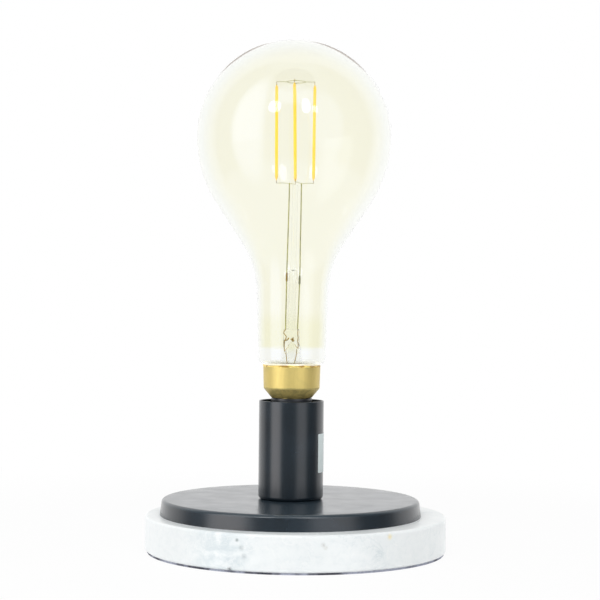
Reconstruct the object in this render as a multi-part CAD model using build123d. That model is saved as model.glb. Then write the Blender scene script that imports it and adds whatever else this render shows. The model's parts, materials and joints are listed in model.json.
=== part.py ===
from build123d import *
from math import cos, degrees, hypot, radians, sin, tan
import os

# A table lamp: a marble disc, a round black plate and a black cup that hides a
# screw lampholder, with a giant pear-shaped filament bulb. Millimetres.
# +Z is up, -Y is the front, and the origin is the middle of the underside.

# Pad and marble
pad_thickness = 1.5
pad_setback = 1.5
marble_radius = 123.0
marble_height = 28.5
marble_edge_radius = 2.0
marble_hole_clearance = 1.0
recess_depth = 14.0
recess_margin = 6.0

# How far the column stands to the left of the marble's middle
column_offset = 4.4

# Cord inlet in the rear rim of the marble
cord_bore_radius = 3.6
bush_wall = 1.6
bush_length = 12.0
bush_fit = 0.1
bush_setback = 0.4

# Plate, a pressed pan, and the spacer that carries the clamping load inside it
plate_radius = 107.0
plate_height = 12.8
plate_sheet = 1.5
plate_edge_radius = 2.2
spacer_radius = 18.0
spacer_clearance = 0.3

# Socket cup and its blank label
cup_radius = 26.6
cup_height = 80.7
cup_wall = 1.2
cup_floor = 1.5
cup_corner_radius = 3.2
cup_rim_share = 0.4
label_thickness = 0.15
label_seat_gap = 0.05
label_width = 34.0
label_height = 31.7
label_bottom_rise = 22.6
label_start_angle = 56.0

# Hollow threaded rod through the base, with its nuts and washers
nipple_radius = 5.0
nipple_wall = 1.1
nipple_tail = 1.2
nipple_top_gap = 1.0
thread_fit = 0.05
nut_flats = 14.0
nut_height = 3.2
nut_sides = 6
washer_clearance = 0.2
penny_thickness = 2.0
penny_overlap = 4.0
toothed_radius = 8.2
toothed_thickness = 0.9
tooth_count = 10
tooth_gap_width = 1.6
tooth_depth = 1.5
bush_sleeve_length = 6.0
bush_sleeve_wall = 0.7
bush_flange_thickness = 0.8
bush_flange_inset = 0.3

# Terminal block in the recess
block_width = 20.0
block_length = 16.0
block_height = 12.5
block_clearance = 3.0
block_edge_radius = 1.0
port_spacing = 11.0
port_rise = 5.2
tube_radius = 2.6
tube_bore_radius = 1.6
tube_inset = 1.0
block_screw_radius = 1.2
block_screw_inset = 4.0
block_screw_sink = 0.6
fixing_head_radius = 2.4
fixing_head_height = 1.6
fixing_head_sink = 0.4
fixing_shank_radius = 1.4
fixing_depth = 7.0

# Leads inside the lamp
lead_radius = 1.1
lead_spacing = 2.8
lead_floor_rise = 3.3
lead_foot_radius = 3.5
lead_bend_radius = 4.0
lead_run = 6.0

# Lampholder
holder_rise = 1.9
holder_radius = 16.75
holder_base_radius = 19.0
holder_wall = 2.0
holder_neck_radius = 8.5
holder_neck_height = 7.5
holder_shoulder_height = 6.0
holder_lip = 1.5
holder_mouth_clearance = 0.5
flange_height = 4.0
taper_height = 3.0
spigot_height = 5.0
seat_fit = 0.1
core_thickness = 8.5
ledge_width = 2.0
ledge_thickness = 2.0
grub_radius = 1.9
grub_sink = 0.4
shell_wall = 0.6
shell_floor = 0.6
shell_floor_hole_radius = 6.5
shell_room = 0.35
shell_top_gap = 0.4
shell_thread_margin = 3.0
terminal_sheet = 0.8
terminal_width = 6.4
pillar_length = 6.0
pillar_height = 6.0
pillar_distance = 9.5
pillar_lead_fit = 0.05
lead_room = 8.5
terminal_screw_radius = 1.3
terminal_screw_head_radius = 2.0
terminal_screw_head_height = 1.4
rivet_radius = 1.2
rivet_head_radius = 1.8
rivet_head_height = 1.0
rivet_circle_radius = 9.8
rivet_angle = 130.0
rivet_tab_width = 4.4

# Sprung centre contact
contact_gap = 0.1
contact_head_radius = 3.5
contact_head_thickness = 1.2
contact_proud = 1.6
contact_stem_radius = 1.9
contact_running_fit = 0.06
contact_tail = 3.2
clip_radius = 3.2
clip_thickness = 0.5
clip_rise = 1.1
spring_wire_radius = 0.22
spring_mean_radius = 2.7
spring_turns = 5
spring_seat_depth = 6.0
spring_room = 0.4

# Bulb cap: rounded screw thread, its pitch, and the brass skirt over it
thread_pitch = 3.629
thread_round_share = 0.2825
thread_sink = 0.05
thread_clearance = 0.2
thread_flank_clearance = 0.11
thread_start_rise = 0.8
thread_end_gap = 1.6
cap_core_radius = 12.05
cap_shell_wall = 0.45
cap_depth = 26.5
cap_gap = 0.4
cap_lip_width = 2.6
cap_flange_width = 1.8
insulator_depth = 2.8
insulator_plug_height = 2.4
insulator_fit = 0.1
insulator_hole_radius = 1.3
eyelet_radius = 5.0
eyelet_thickness = 1.5
eyelet_dome = 0.6
eyelet_stem_radius = 1.25
eyelet_stem_height = 1.8
skirt_sheet = 0.5
skirt_foot_radius = 16.5
skirt_cone_height = 8.6
skirt_cement_gap = 0.2
skirt_height = 19.6
skirt_flare = 0.65
skirt_bead_radius = 0.45
skirt_hole_fit = 0.05

# Glass
glass_wall = 1.0
glass_engagement = 7.0
glass_seat_gap = 0.2
glass_tube_radius = 22.3
cement_top_gap = 1.0
neck_step = 5.55
neck_taper = 1.63
throat_radius = 77.6
flank_angle = 33.6
belly_arc_radius = 98.6
bulb_radius = 80.4
belly_rise = 185.3

# Glass mount inside the bulb
flare_fit = 0.1
flare_top_radius = 7.0
stem_wall = 1.0
pinch_rise = 22.0
pinch_width = 13.2
pinch_thickness = 5.0
pinch_height = 13.0
pinch_edge_radius = 1.6
stem_shift = -0.6
mount_lean = 1.05
exhaust_radius = 2.4
exhaust_length = 17.0
stem_tube_radius = 3.5
stem_tube_length = 48.0
stem_tube_wall = 0.9
stem_rod_radius = 2.3
stem_rod_length = 71.0

# Leads, links and filaments inside the bulb
wire_spread = 9.8
wire_radius = 0.5
wire_length = 119.5
splice_radius = 0.85
splice_fit = 0.02
splice_length = 7.4
splice_left_drop = 9.0
splice_right_drop = 11.2
link_radius = 0.3
link_hub_radius = 0.55
link_hub_height = 1.2
cage_shift = 1.5
cage_radius = 15.6
filament_radius = 1.15
filament_length = 77.5
filament_point = 2.6
filament_pin_radius = 0.28
filament_pin_length = 2.5
top_ring_radius = 7.6
top_ring_wire_radius = 0.3

# Driver inside the cap
board_width = 17.0
board_height = 30.0
board_thickness = 1.2
board_foot_gap = 2.0
capacitor_radius = 4.0
capacitor_height = 11.0
capacitor_rise = 15.0
inductor_flange_radius = 3.4
inductor_waist_radius = 2.2
inductor_height = 6.0
inductor_flange_thickness = 1.0
inductor_rise = 9.0
rectifier_width = 6.0
rectifier_height = 5.0
rectifier_thickness = 2.0
rectifier_rise = 20.0
board_lead_radius = 0.35
board_lead_left_x = -3.4
board_lead_right_x = 1.1
board_lead_gap = 0.1
side_wire_radius = 0.4
side_wire_rise = 12.0

# How far every cutter runs past what it cuts
overrun = 5.0

# Degrees in half a turn, and the sides of the filaments' cage in turn from the right
half_turn = 180.0
cage_sides = ("right", "back", "left", "front")

# Heights of the base, from the table upwards
marble_bottom = pad_thickness
marble_top = marble_bottom + marble_height
plate_top = marble_top + plate_height
cup_bottom = plate_top
cup_floor_top = cup_bottom + cup_floor
cup_top = cup_bottom + cup_height
holder_top = cup_top + holder_rise
recess_ceiling = marble_bottom + recess_depth

# Places in plan: the marble is on the origin, all else on the column's axis
column_x = -column_offset
marble_hole_radius = nipple_radius + column_offset + marble_hole_clearance
penny_radius = marble_hole_radius + column_offset + penny_overlap
block_front = penny_radius + block_clearance
block_back = block_front + block_length
recess_radius = block_back + recess_margin
channel_half_width = cord_bore_radius + bush_wall
channel_spring = marble_bottom + channel_half_width

# Bulb cap and lampholder, measured down from the lampholder's rim
skirt_bottom = holder_top + cap_gap
skirt_waist = skirt_bottom + skirt_cone_height
skirt_rim = skirt_waist + skirt_height
skirt_waist_radius = glass_tube_radius + skirt_cement_gap + skirt_sheet
skirt_rim_radius = skirt_waist_radius + skirt_flare
tip_height = skirt_bottom - cap_depth
eyelet_seat = tip_height + eyelet_thickness
cap_shell_bottom = eyelet_seat + insulator_depth
contact_head_top = tip_height - contact_gap
contact_head_bottom = contact_head_top - contact_head_thickness
core_top = contact_head_bottom - contact_proud
core_bottom = core_top - core_thickness
pillar_bottom = core_bottom - terminal_sheet - pillar_height
neck_top = pillar_bottom - lead_room
holder_bottom = neck_top - holder_neck_height
holder_rim = core_top + spigot_height
holder_inner_radius = holder_base_radius - holder_wall
core_radius = holder_inner_radius - seat_fit

# Nuts and washers under the marble, and the threaded rod that they are on
penny_bottom = recess_ceiling - penny_thickness
toothed_bottom = penny_bottom - toothed_thickness
nut_bottom = toothed_bottom - nut_height
nipple_bottom = nut_bottom - nipple_tail
nipple_top = neck_top - nipple_top_gap
nipple_bore_radius = nipple_radius - nipple_wall
washer_bore_radius = nipple_radius + washer_clearance

# Terminal block
block_bottom = recess_ceiling - block_height
port_height = block_bottom + port_rise
block_middle = (block_front + block_back) / 2

# Thread: the bulb's bead runs in the gap of the lampholder's bead
cap_bead_radius = thread_round_share * thread_pitch
cap_bead_centre = cap_core_radius + thread_sink
cap_crest_radius = cap_bead_centre + cap_bead_radius
shell_bore_radius = cap_crest_radius + thread_clearance
shell_outer_radius = shell_bore_radius + shell_wall
shell_bead_centre = cap_core_radius + thread_clearance + cap_bead_radius
bead_distance = hypot(shell_bead_centre - cap_bead_centre, thread_pitch / 2)
shell_bead_radius = bead_distance - cap_bead_radius - thread_flank_clearance
cap_thread_start = cap_shell_bottom + cap_bead_radius + thread_start_rise
cap_thread_end = skirt_bottom - cap_bead_radius - thread_end_gap
shell_top = holder_top - holder_lip - shell_top_gap
shell_thread_start = cap_thread_start + thread_pitch / 2
shell_thread_end = shell_top - shell_thread_margin
cap_inner_radius = cap_core_radius - cap_shell_wall

# Glass and the mount inside it
glass_bottom = skirt_rim - glass_engagement
heel_height = skirt_rim + glass_seat_gap
belly_height = skirt_rim + belly_rise
neck_foot_radius = glass_tube_radius + neck_step
pinch_bottom = glass_bottom + pinch_rise
pinch_top = pinch_bottom + pinch_height
lean_run = sin(radians(mount_lean))
lean_rise = cos(radians(mount_lean))
wire_top = pinch_top + wire_length * lean_rise
mount_top_x = stem_shift + wire_length * lean_run
splice_left_rise = stem_tube_length - splice_left_drop
splice_right_rise = stem_tube_length - splice_right_drop
link_height = wire_top + link_hub_height / 2
filament_bottom = link_height + filament_pin_length
filament_top = filament_bottom + filament_length
ring_height = filament_top + filament_pin_length
board_bottom = cap_shell_bottom + insulator_plug_height + board_foot_gap
board_top = board_bottom + board_height

base_align = (Align.CENTER, Align.CENTER, Align.MIN)


def disc(radius, height, bottom):
    """A round bar on the Z axis."""
    return Pos(0, 0, bottom) * Cylinder(radius, height, align=base_align)


def ring(outer, inner, height, bottom):
    """A flat ring or a tube on the Z axis."""
    return disc(outer, height, bottom) - disc(inner, height + 2 * overrun, bottom - overrun)


def block(size_x, size_y, size_z, bottom):
    """A box on the Z axis."""
    return Pos(0, 0, bottom) * Box(size_x, size_y, size_z, align=base_align)


def outline(*edges):
    """A face in the XZ plane from edges drawn as radius and height."""
    return Plane.XZ * make_face(Curve() + list(edges))


def turned(*points):
    """A solid turned about Z from corners given as radius and height."""
    return revolve(Plane.XZ * make_face(Polyline(*points, close=True)), Axis.Z)


def arc(centre, radius, start, end):
    """An arc about a centre between two angles in degrees."""
    return CenterArc(centre, radius, start, end - start)


def rod(start, end, radius):
    """A straight wire between two points."""
    along = Vector(*end) - Vector(*start)
    return Solid.make_cylinder(radius, along.length, Plane(origin=start, z_dir=along))


def bent_rod(points, bends, radius):
    """A round wire along straight runs joined by tangent arcs."""
    path = FilletPolyline(*points, radius=bends)
    section = Plane(origin=path @ 0, z_dir=path % 0) * Circle(radius)
    return sweep(section, path=path)


def nut(height, bottom):
    """A hexagon nut for the threaded rod."""
    blank = extrude(RegularPolygon(nut_flats / 2, nut_sides, major_radius=False), height)
    hole = disc(nipple_radius + thread_fit, height + 2 * overrun, bottom - overrun)
    return Pos(0, 0, bottom) * blank - hole


def bead(centre_radius, bead_radius, start, end):
    """The round helical bead of a screw thread."""
    path = Helix(thread_pitch, end - start, centre_radius)
    section = Plane(origin=path @ 0, x_dir=(0, 0, 1), z_dir=path % 0) * Circle(bead_radius)
    return Pos(0, 0, start) * sweep(section, path=path, is_frenet=True)


def arch(half_width, bottom, start, end):
    """A bar along Y with a flat foot, straight sides and a half-round top."""
    length = end - start
    foot = Box(2 * half_width, length, channel_spring - bottom, align=base_align)
    top = Rot(90, 0, 0) * Cylinder(half_width, length)
    middle = (start + end) / 2
    return Pos(0, middle, bottom) * foot + Pos(0, middle, channel_spring) * top


def base_pad():
    return disc(marble_radius - pad_setback, pad_thickness, 0)


def marble_base():
    body = disc(marble_radius, marble_height, marble_bottom)
    rims = body.edges().filter_by(GeomType.CIRCLE)
    body = fillet(rims, marble_edge_radius)
    body -= disc(marble_hole_radius, marble_height + 2 * overrun, marble_bottom - overrun)
    body -= disc(recess_radius, recess_depth + overrun, marble_bottom - overrun)
    body -= arch(channel_half_width, marble_bottom - overrun, 0, marble_radius + overrun)
    screw_hole = disc(fixing_shank_radius, fixing_depth + overrun, recess_ceiling - overrun)
    return body - Pos(column_x, block_middle, 0) * screw_hole


def cord_bush():
    start = marble_radius - bush_setback - bush_length
    plug = arch(channel_half_width - bush_fit, marble_bottom, start, marble_radius)
    plug &= disc(marble_radius - bush_setback, marble_height, marble_bottom)
    bore = Rot(90, 0, 0) * Cylinder(cord_bore_radius, 2 * marble_radius)
    return plug - Pos(0, marble_radius, channel_spring) * bore


def base_plate():
    pan = disc(plate_radius, plate_height, marble_top)
    pan = fillet(pan.edges().filter_by(GeomType.CIRCLE).sort_by(Axis.Z)[-1], plate_edge_radius)
    hollow = plate_height - plate_sheet
    pan -= disc(plate_radius - plate_sheet, hollow + overrun, marble_top - overrun)
    return pan - disc(washer_bore_radius, plate_height + 2 * overrun, marble_top)


def plate_spacer():
    bore_radius = nipple_radius + spacer_clearance
    return ring(spacer_radius, bore_radius, plate_height - plate_sheet, marble_top)


def socket_cup():
    body = disc(cup_radius, cup_height, cup_bottom)
    body = fillet(body.edges().filter_by(GeomType.CIRCLE).sort_by(Axis.Z)[0], cup_corner_radius)
    inside = disc(cup_radius - cup_wall, cup_height + overrun, cup_floor_top)
    foot = inside.edges().filter_by(GeomType.CIRCLE).sort_by(Axis.Z)[0]
    body -= fillet(foot, cup_corner_radius - cup_wall)
    rim = body.edges().filter_by(GeomType.CIRCLE).filter_by_position(Axis.Z, cup_top, cup_top)
    body = fillet(rim, cup_rim_share * cup_wall)
    return body - disc(washer_bore_radius, cup_floor + 2 * overrun, cup_bottom - overrun)


def blank_label():
    skin = Rectangle(label_thickness, label_height, align=(Align.MIN, Align.MIN))
    skin = Pos(cup_radius + label_seat_gap, cup_bottom + label_bottom_rise) * skin
    wrap = degrees(label_width / cup_radius)
    return Rot(0, 0, label_start_angle - 90) * revolve(Plane.XZ * skin, Axis.Z, wrap)


def threaded_nipple():
    return ring(nipple_radius, nipple_bore_radius, nipple_top - nipple_bottom, nipple_bottom)


def nipple_bush():
    sleeve_radius = nipple_bore_radius - thread_fit
    bore_radius = sleeve_radius - bush_sleeve_wall
    flange_bottom = nipple_bottom - bush_flange_thickness
    sleeve = ring(sleeve_radius, bore_radius, bush_sleeve_length, nipple_bottom)
    flange_radius = nipple_radius - bush_flange_inset
    return sleeve + ring(flange_radius, bore_radius, bush_flange_thickness, flange_bottom)


def penny_washer():
    return ring(penny_radius, washer_bore_radius, penny_thickness, penny_bottom)


def toothed_washer():
    body = ring(toothed_radius, washer_bore_radius, toothed_thickness, toothed_bottom)
    gap = block(2 * tooth_depth, tooth_gap_width, toothed_thickness + 2 * overrun, toothed_bottom - overrun)
    for tooth in range(tooth_count):
        body -= Rot(0, 0, 360 / tooth_count * tooth) * Pos(toothed_radius, 0, 0) * gap
    return body


def nipple_nut():
    return nut(nut_height, nut_bottom)


def cup_nut():
    return nut(nut_height, cup_floor_top)


def ports():
    """The X places of the block's two ways."""
    return (-port_spacing / 2, port_spacing / 2)


def along_y(radius, start, end, x, z):
    """A round bar along Y."""
    return rod((x, start, z), (x, end, z), radius)


def terminal_block():
    body = block(block_width, block_length, block_height, block_bottom)
    body = Pos(0, block_middle, 0) * body
    body = fillet(body.edges().filter_by(Axis.Z), block_edge_radius)
    for x in ports():
        body -= along_y(tube_radius, block_front - overrun, block_back + overrun, x, port_height)
        for y in screw_rows():
            body -= rod((x, y, block_bottom - overrun), (x, y, port_height), block_screw_radius)
    head = disc(fixing_head_radius, fixing_head_height + fixing_head_sink + overrun, block_bottom - overrun)
    shank = disc(fixing_shank_radius, block_height + overrun, block_bottom)
    return body - Pos(0, block_middle, 0) * (head + shank)


def screw_rows():
    """The Y places of the block's clamping screws."""
    return (block_front + block_screw_inset, block_back - block_screw_inset)


def block_tubes():
    tubes = []
    for x in ports():
        tube = along_y(tube_radius, block_front + tube_inset, block_back - tube_inset, x, port_height)
        tube -= along_y(tube_bore_radius, block_front, block_back, x, port_height)
        for y in screw_rows():
            tube -= rod((x, y, block_bottom), (x, y, port_height), block_screw_radius)
        tubes.append(tube)
    return Compound(tubes)


def block_screws():
    screws = []
    for x in ports():
        for y in screw_rows():
            top = port_height - lead_radius
            screws.append(rod((x, y, block_bottom + block_screw_sink), (x, y, top), block_screw_radius))
    return Compound(screws)


def block_fixing_screw():
    head_bottom = block_bottom + fixing_head_sink
    screw = disc(fixing_head_radius, fixing_head_height, head_bottom)
    shank_length = recess_ceiling + fixing_depth - head_bottom
    screw += disc(fixing_shank_radius, shank_length, head_bottom)
    return Pos(0, block_middle, 0) * screw


def lead(side):
    """One insulated lead from the block, up the threaded rod, to its terminal."""
    x_port = side * port_spacing / 2
    x_rod = side * lead_spacing / 2
    x_pillar = side * pillar_distance
    floor = block_bottom + lead_floor_rise - lead_radius
    points = [
        (x_pillar, 0, pillar_bottom + pillar_height / 2),
        (x_pillar, 0, pillar_bottom - lead_bend_radius / 2),
        (x_rod, 0, neck_top),
        (x_rod, 0, floor),
        (x_port, block_front - 2 * lead_run, floor),
        (x_port, block_front - lead_run, port_height),
        (x_port, block_middle, port_height),
    ]
    bends = [lead_bend_radius, lead_bend_radius, lead_foot_radius, lead_bend_radius, lead_bend_radius]
    return bent_rod(points, bends, lead_radius)


def holder_cap():
    bore = nipple_radius + thread_fit
    shoulder = neck_top - holder_wall
    ledge_radius = holder_inner_radius - ledge_width
    body = turned(
        (bore, holder_bottom),
        (holder_neck_radius, holder_bottom),
        (holder_neck_radius, shoulder),
        (holder_base_radius, shoulder + holder_shoulder_height),
        (holder_base_radius, holder_rim),
        (holder_inner_radius, holder_rim),
        (holder_inner_radius, core_bottom),
        (ledge_radius, core_bottom),
        (ledge_radius, core_bottom - ledge_thickness),
        (holder_inner_radius, core_bottom - ledge_thickness),
        (holder_inner_radius, neck_top + holder_shoulder_height),
        (bore, neck_top),
    )
    return body - grub(overrun, thread_fit)


def grub(extra, fit):
    """The locking screw in the lampholder's neck, or with a fit its hole."""
    z = holder_bottom + holder_neck_height / 2
    outer = holder_neck_radius - grub_sink + extra
    return rod((0, nipple_radius, z), (0, outer, z), grub_radius + fit)


def grub_screw():
    return grub(0, 0)


def rivet_places():
    """Two opposite rivets through the core. The first carries the neutral tab."""
    return [PolarLocations(rivet_circle_radius, 1, rivet_angle + turn).locations[0] for turn in (0, 180)]


def holder_core():
    body = disc(core_radius, core_thickness, core_bottom)
    spring_seat = spring_mean_radius + spring_wire_radius + spring_room
    seat_radius = max(spring_seat, contact_head_radius + spring_room)
    body -= disc(seat_radius, spring_seat_depth + overrun, core_top - spring_seat_depth)
    guide = contact_stem_radius + contact_running_fit
    body -= disc(guide, core_thickness + 2 * overrun, core_bottom - overrun)
    hole = disc(rivet_radius, core_thickness + 2 * overrun, core_bottom - overrun)
    for place in rivet_places():
        body -= place * hole
    return body


def holder_sleeve():
    bore = shell_outer_radius + shell_room
    mouth = cap_crest_radius + holder_mouth_clearance
    taper_bottom = holder_rim + flange_height
    return turned(
        (bore, core_top),
        (core_radius, core_top),
        (core_radius, holder_rim),
        (holder_base_radius, holder_rim),
        (holder_base_radius, taper_bottom),
        (holder_radius, taper_bottom + taper_height),
        (holder_radius, holder_top),
        (mouth, holder_top),
        (mouth, holder_top - holder_lip),
        (bore, holder_top - holder_lip),
    )


def screw_shell():
    wall = ring(shell_outer_radius, shell_bore_radius, shell_top - core_top, core_top)
    ridge = bead(shell_bead_centre, shell_bead_radius, shell_thread_start, shell_thread_end)
    wall += ridge & disc(shell_outer_radius, shell_top - core_top, core_top)
    floor = ring(shell_outer_radius, shell_floor_hole_radius, shell_floor, core_top)
    hole = disc(rivet_radius, shell_floor + 2 * overrun, core_top - overrun)
    for place in rivet_places():
        floor -= place * hole
    return wall + floor


def rivet(foot):
    """A rivet through the shell's floor and the core, with its lower head under foot."""
    head_bottom = foot - rivet_head_height
    shank_top = core_top + shell_floor
    body = disc(rivet_radius, shank_top - foot, foot)
    body += disc(rivet_head_radius, rivet_head_height, head_bottom)
    return body + disc(rivet_head_radius, rivet_head_height, shank_top)


def shell_rivets():
    feet = (core_bottom - terminal_sheet, core_bottom)
    return Compound([place * rivet(foot) for place, foot in zip(rivet_places(), feet)])


def pillar(side):
    """A terminal's pillar, with the lead's bore from below and the screw's from outside."""
    x = side * pillar_distance
    body = Pos(x, 0, 0) * block(pillar_length, terminal_width, pillar_height, pillar_bottom)
    body -= rod((x, 0, pillar_bottom), (x, 0, pillar_bottom + pillar_height / 2), lead_radius + pillar_lead_fit)
    return body - terminal_screw(side)


def terminal_screw(side):
    """A clamping screw that bears on the lead inside its pillar."""
    z = pillar_bottom + pillar_height / 3
    x_tip = side * (pillar_distance + lead_radius)
    x_face = side * (pillar_distance + pillar_length / 2)
    x_end = x_face + side * terminal_screw_head_height
    shank = rod((x_tip, 0, z), (x_face, 0, z), terminal_screw_radius)
    return shank + rod((x_face, 0, z), (x_end, 0, z), terminal_screw_head_radius)


def terminal_screws():
    return Compound([terminal_screw(side) for side in (-1, 1)])


def live_terminal():
    reach = pillar_distance + pillar_length / 2
    stem_side = clip_radius
    strip = Pos((reach - stem_side) / 2, 0, 0)
    strip *= block(reach + stem_side, terminal_width, terminal_sheet, core_bottom - terminal_sheet)
    guide = contact_stem_radius + contact_running_fit
    strip -= disc(guide, terminal_sheet + 2 * overrun, core_bottom - terminal_sheet - overrun)
    return strip + pillar(1)


def neutral_terminal():
    sheet_bottom = core_bottom - terminal_sheet
    pad = Pos(-pillar_distance, 0, 0) * block(pillar_length, terminal_width, terminal_sheet, sheet_bottom)
    spot = rivet_places()[0].position
    tab_length = spot.Y + rivet_head_radius
    tab = block(rivet_tab_width, tab_length, terminal_sheet, sheet_bottom)
    tab = Pos(spot.X, tab_length / 2, 0) * tab
    hole = rivet_places()[0] * disc(rivet_radius, core_thickness, sheet_bottom - overrun)
    return pad + tab - hole + pillar(-1)


def centre_contact():
    head = disc(contact_head_radius, contact_head_thickness, contact_head_bottom)
    stem_bottom = core_bottom - terminal_sheet - contact_tail
    return head + disc(contact_stem_radius, contact_head_bottom - stem_bottom, stem_bottom)


def contact_clip():
    bottom = core_bottom - terminal_sheet - contact_tail + clip_rise
    return ring(clip_radius, contact_stem_radius, clip_thickness, bottom)


def contact_spring():
    bottom = core_top - spring_seat_depth + spring_wire_radius
    height = contact_head_bottom - spring_wire_radius - bottom
    path = Helix(height / spring_turns, height, spring_mean_radius)
    section = Plane(origin=path @ 0, z_dir=path % 0) * Circle(spring_wire_radius)
    return Pos(0, 0, bottom) * sweep(section, path=path, is_frenet=True)


def cap_eyelet():
    button = disc(eyelet_radius, eyelet_thickness, tip_height)
    rim = button.edges().filter_by(GeomType.CIRCLE).sort_by(Axis.Z)[0]
    stem = disc(eyelet_stem_radius, eyelet_thickness + eyelet_stem_height, tip_height)
    return fillet(rim, eyelet_dome) + stem


def cap_insulator():
    plug = cap_inner_radius - insulator_fit
    lip = cap_core_radius - cap_lip_width - insulator_fit
    plug_bottom = cap_shell_bottom + cap_shell_wall
    plug_top = plug_bottom + insulator_plug_height
    return turned(
        (insulator_hole_radius, eyelet_seat),
        (eyelet_radius, eyelet_seat),
        (lip, cap_shell_bottom),
        (lip, plug_bottom),
        (plug, plug_bottom),
        (plug, plug_top),
        (insulator_hole_radius, plug_top),
    )


def cap_shell():
    flange_bottom = skirt_bottom + skirt_sheet
    height = flange_bottom + cap_shell_wall - cap_shell_bottom
    body = disc(cap_core_radius, height, cap_shell_bottom)
    body += bead(cap_bead_centre, cap_bead_radius, cap_thread_start, cap_thread_end)
    body += disc(cap_core_radius + cap_flange_width, cap_shell_wall, flange_bottom)
    body -= disc(cap_inner_radius, height + overrun, cap_shell_bottom + cap_shell_wall)
    return body - disc(cap_core_radius - cap_lip_width, height, cap_shell_bottom - overrun)


def skirt_inner_radius(height):
    """The inside of the skirt's flaring wall at a height."""
    share = (height - skirt_waist) / skirt_height
    return skirt_waist_radius - skirt_sheet + share * (skirt_rim_radius - skirt_waist_radius)


def cap_skirt():
    hole = cap_core_radius + skirt_hole_fit
    body = turned(
        (hole, skirt_bottom),
        (skirt_foot_radius, skirt_bottom),
        (skirt_waist_radius, skirt_waist),
        (skirt_rim_radius, skirt_rim),
        (skirt_inner_radius(skirt_rim), skirt_rim),
        (skirt_inner_radius(skirt_waist), skirt_waist),
        (skirt_foot_radius - skirt_sheet, skirt_bottom + skirt_sheet),
        (hole, skirt_bottom + skirt_sheet),
    )
    roll = Torus(skirt_rim_radius - skirt_sheet / 2, skirt_bead_radius)
    return body + Pos(0, 0, skirt_rim - skirt_bead_radius) * roll


def cap_cement():
    top = skirt_rim - cement_top_gap
    roll_side = skirt_bead_radius - skirt_sheet / 2
    return turned(
        (glass_tube_radius, glass_bottom),
        (skirt_inner_radius(glass_bottom), glass_bottom),
        (skirt_inner_radius(top) - roll_side, top),
        (glass_tube_radius, top),
    )


def glass_body(inset):
    """The bulb's solid shape, drawn in by inset: crown, belly, flank, throat, neck and tube."""
    taper, flank = radians(neck_taper), radians(flank_angle)
    crown = bulb_radius - inset
    belly = belly_arc_radius - inset
    throat = throat_radius + inset
    belly_x = bulb_radius - belly_arc_radius
    flank_x = belly_x + belly * cos(flank)
    flank_z = belly_height - belly * sin(flank)
    heel_radius = neck_foot_radius - glass_tube_radius
    heel_z = heel_height + heel_radius
    heel = heel_radius - inset
    foot_x = glass_tube_radius + heel * cos(taper)
    foot_z = heel_z - heel * sin(taper)
    corner_z = foot_x - foot_z * tan(taper) - flank_x + flank_z * tan(flank)
    corner_z /= tan(flank) - tan(taper)
    corner_x = flank_x - (flank_z - corner_z) * tan(flank)
    reach = throat * tan((flank - taper) / 2)
    throat_top = (corner_x + reach * sin(flank), corner_z + reach * cos(flank))
    throat_foot = (corner_x - reach * sin(taper), corner_z - reach * cos(taper))
    throat_centre = (throat_top[0] + throat * cos(flank), throat_top[1] - throat * sin(flank))
    tube = glass_tube_radius - inset
    tube_bottom = glass_bottom - (overrun if inset else 0)
    corners = [
        (tube, heel_height + inset),
        (tube, tube_bottom),
        (0, tube_bottom),
        (0, belly_height + crown),
    ]
    if inset:
        corners.insert(0, (glass_tube_radius, heel_height + inset))
    edges = [
        arc((0, belly_height), crown, 0, 90),
        arc((belly_x, belly_height), belly, -flank_angle, 0),
        Line((flank_x, flank_z), throat_top),
        arc(throat_centre, throat, half_turn - flank_angle, half_turn - neck_taper),
        Line(throat_foot, (foot_x, foot_z)),
        arc((glass_tube_radius, heel_z), heel, -90, -neck_taper),
        Polyline(*corners),
    ]
    return revolve(outline(*edges), Axis.Z)


def glass_bulb():
    return glass_body(0) - glass_body(glass_wall)


def stem_flare():
    rim = glass_tube_radius - glass_wall - flare_fit
    bend = rim - flare_top_radius
    bend_z = glass_bottom + stem_wall + bend
    bore = flare_top_radius - stem_wall
    trumpet = revolve(
        outline(
            arc((rim, bend_z), bend, 180, 270),
            Polyline((rim, bend_z - bend), (rim, glass_bottom)),
            arc((rim, bend_z), bend + stem_wall, 180, 270),
            Line((bore, bend_z), (bore, pinch_bottom)),
            Line((bore, pinch_bottom), (flare_top_radius, pinch_bottom)),
            Line((flare_top_radius, pinch_bottom), (flare_top_radius, bend_z)),
        ),
        Axis.Z,
    )
    cover = disc(flare_top_radius, stem_wall, pinch_bottom)
    press = block(pinch_width, pinch_thickness, pinch_height, pinch_bottom)
    press = fillet(press.edges().filter_by(Axis.Z), pinch_edge_radius)
    press = fillet(press.faces().sort_by(Axis.Z)[-1].edges(), pinch_edge_radius / 2)
    return trumpet + cover + Pos(stem_shift, 0, 0) * press


def exhaust_tip():
    tip = disc(exhaust_radius, exhaust_length, pinch_bottom - exhaust_length)
    foot = tip.edges().filter_by(GeomType.CIRCLE).sort_by(Axis.Z)[0]
    return Pos(stem_shift, 0, 0) * fillet(foot, exhaust_radius / 2)


def leaned(shape):
    """Stand a piece drawn from the pinch's top on the leaning mount."""
    return Pos(stem_shift, 0, pinch_top) * Rot(0, mount_lean, 0) * shape


def stem_tube():
    foot = stem_tube_radius * lean_run
    body = disc(stem_tube_radius, stem_tube_length - foot, foot)
    top = body.edges().filter_by(GeomType.CIRCLE).sort_by(Axis.Z)[-1]
    body = fillet(top, stem_tube_wall)
    bore_length = stem_tube_length - stem_tube_wall + overrun
    return leaned(body - disc(stem_tube_radius - stem_tube_wall, bore_length, -overrun))


def stem_rod():
    body = disc(stem_rod_radius, stem_rod_length, stem_tube_length)
    top = body.edges().filter_by(GeomType.CIRCLE).sort_by(Axis.Z)[-1]
    return leaned(fillet(top, stem_rod_radius / 2))


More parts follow.
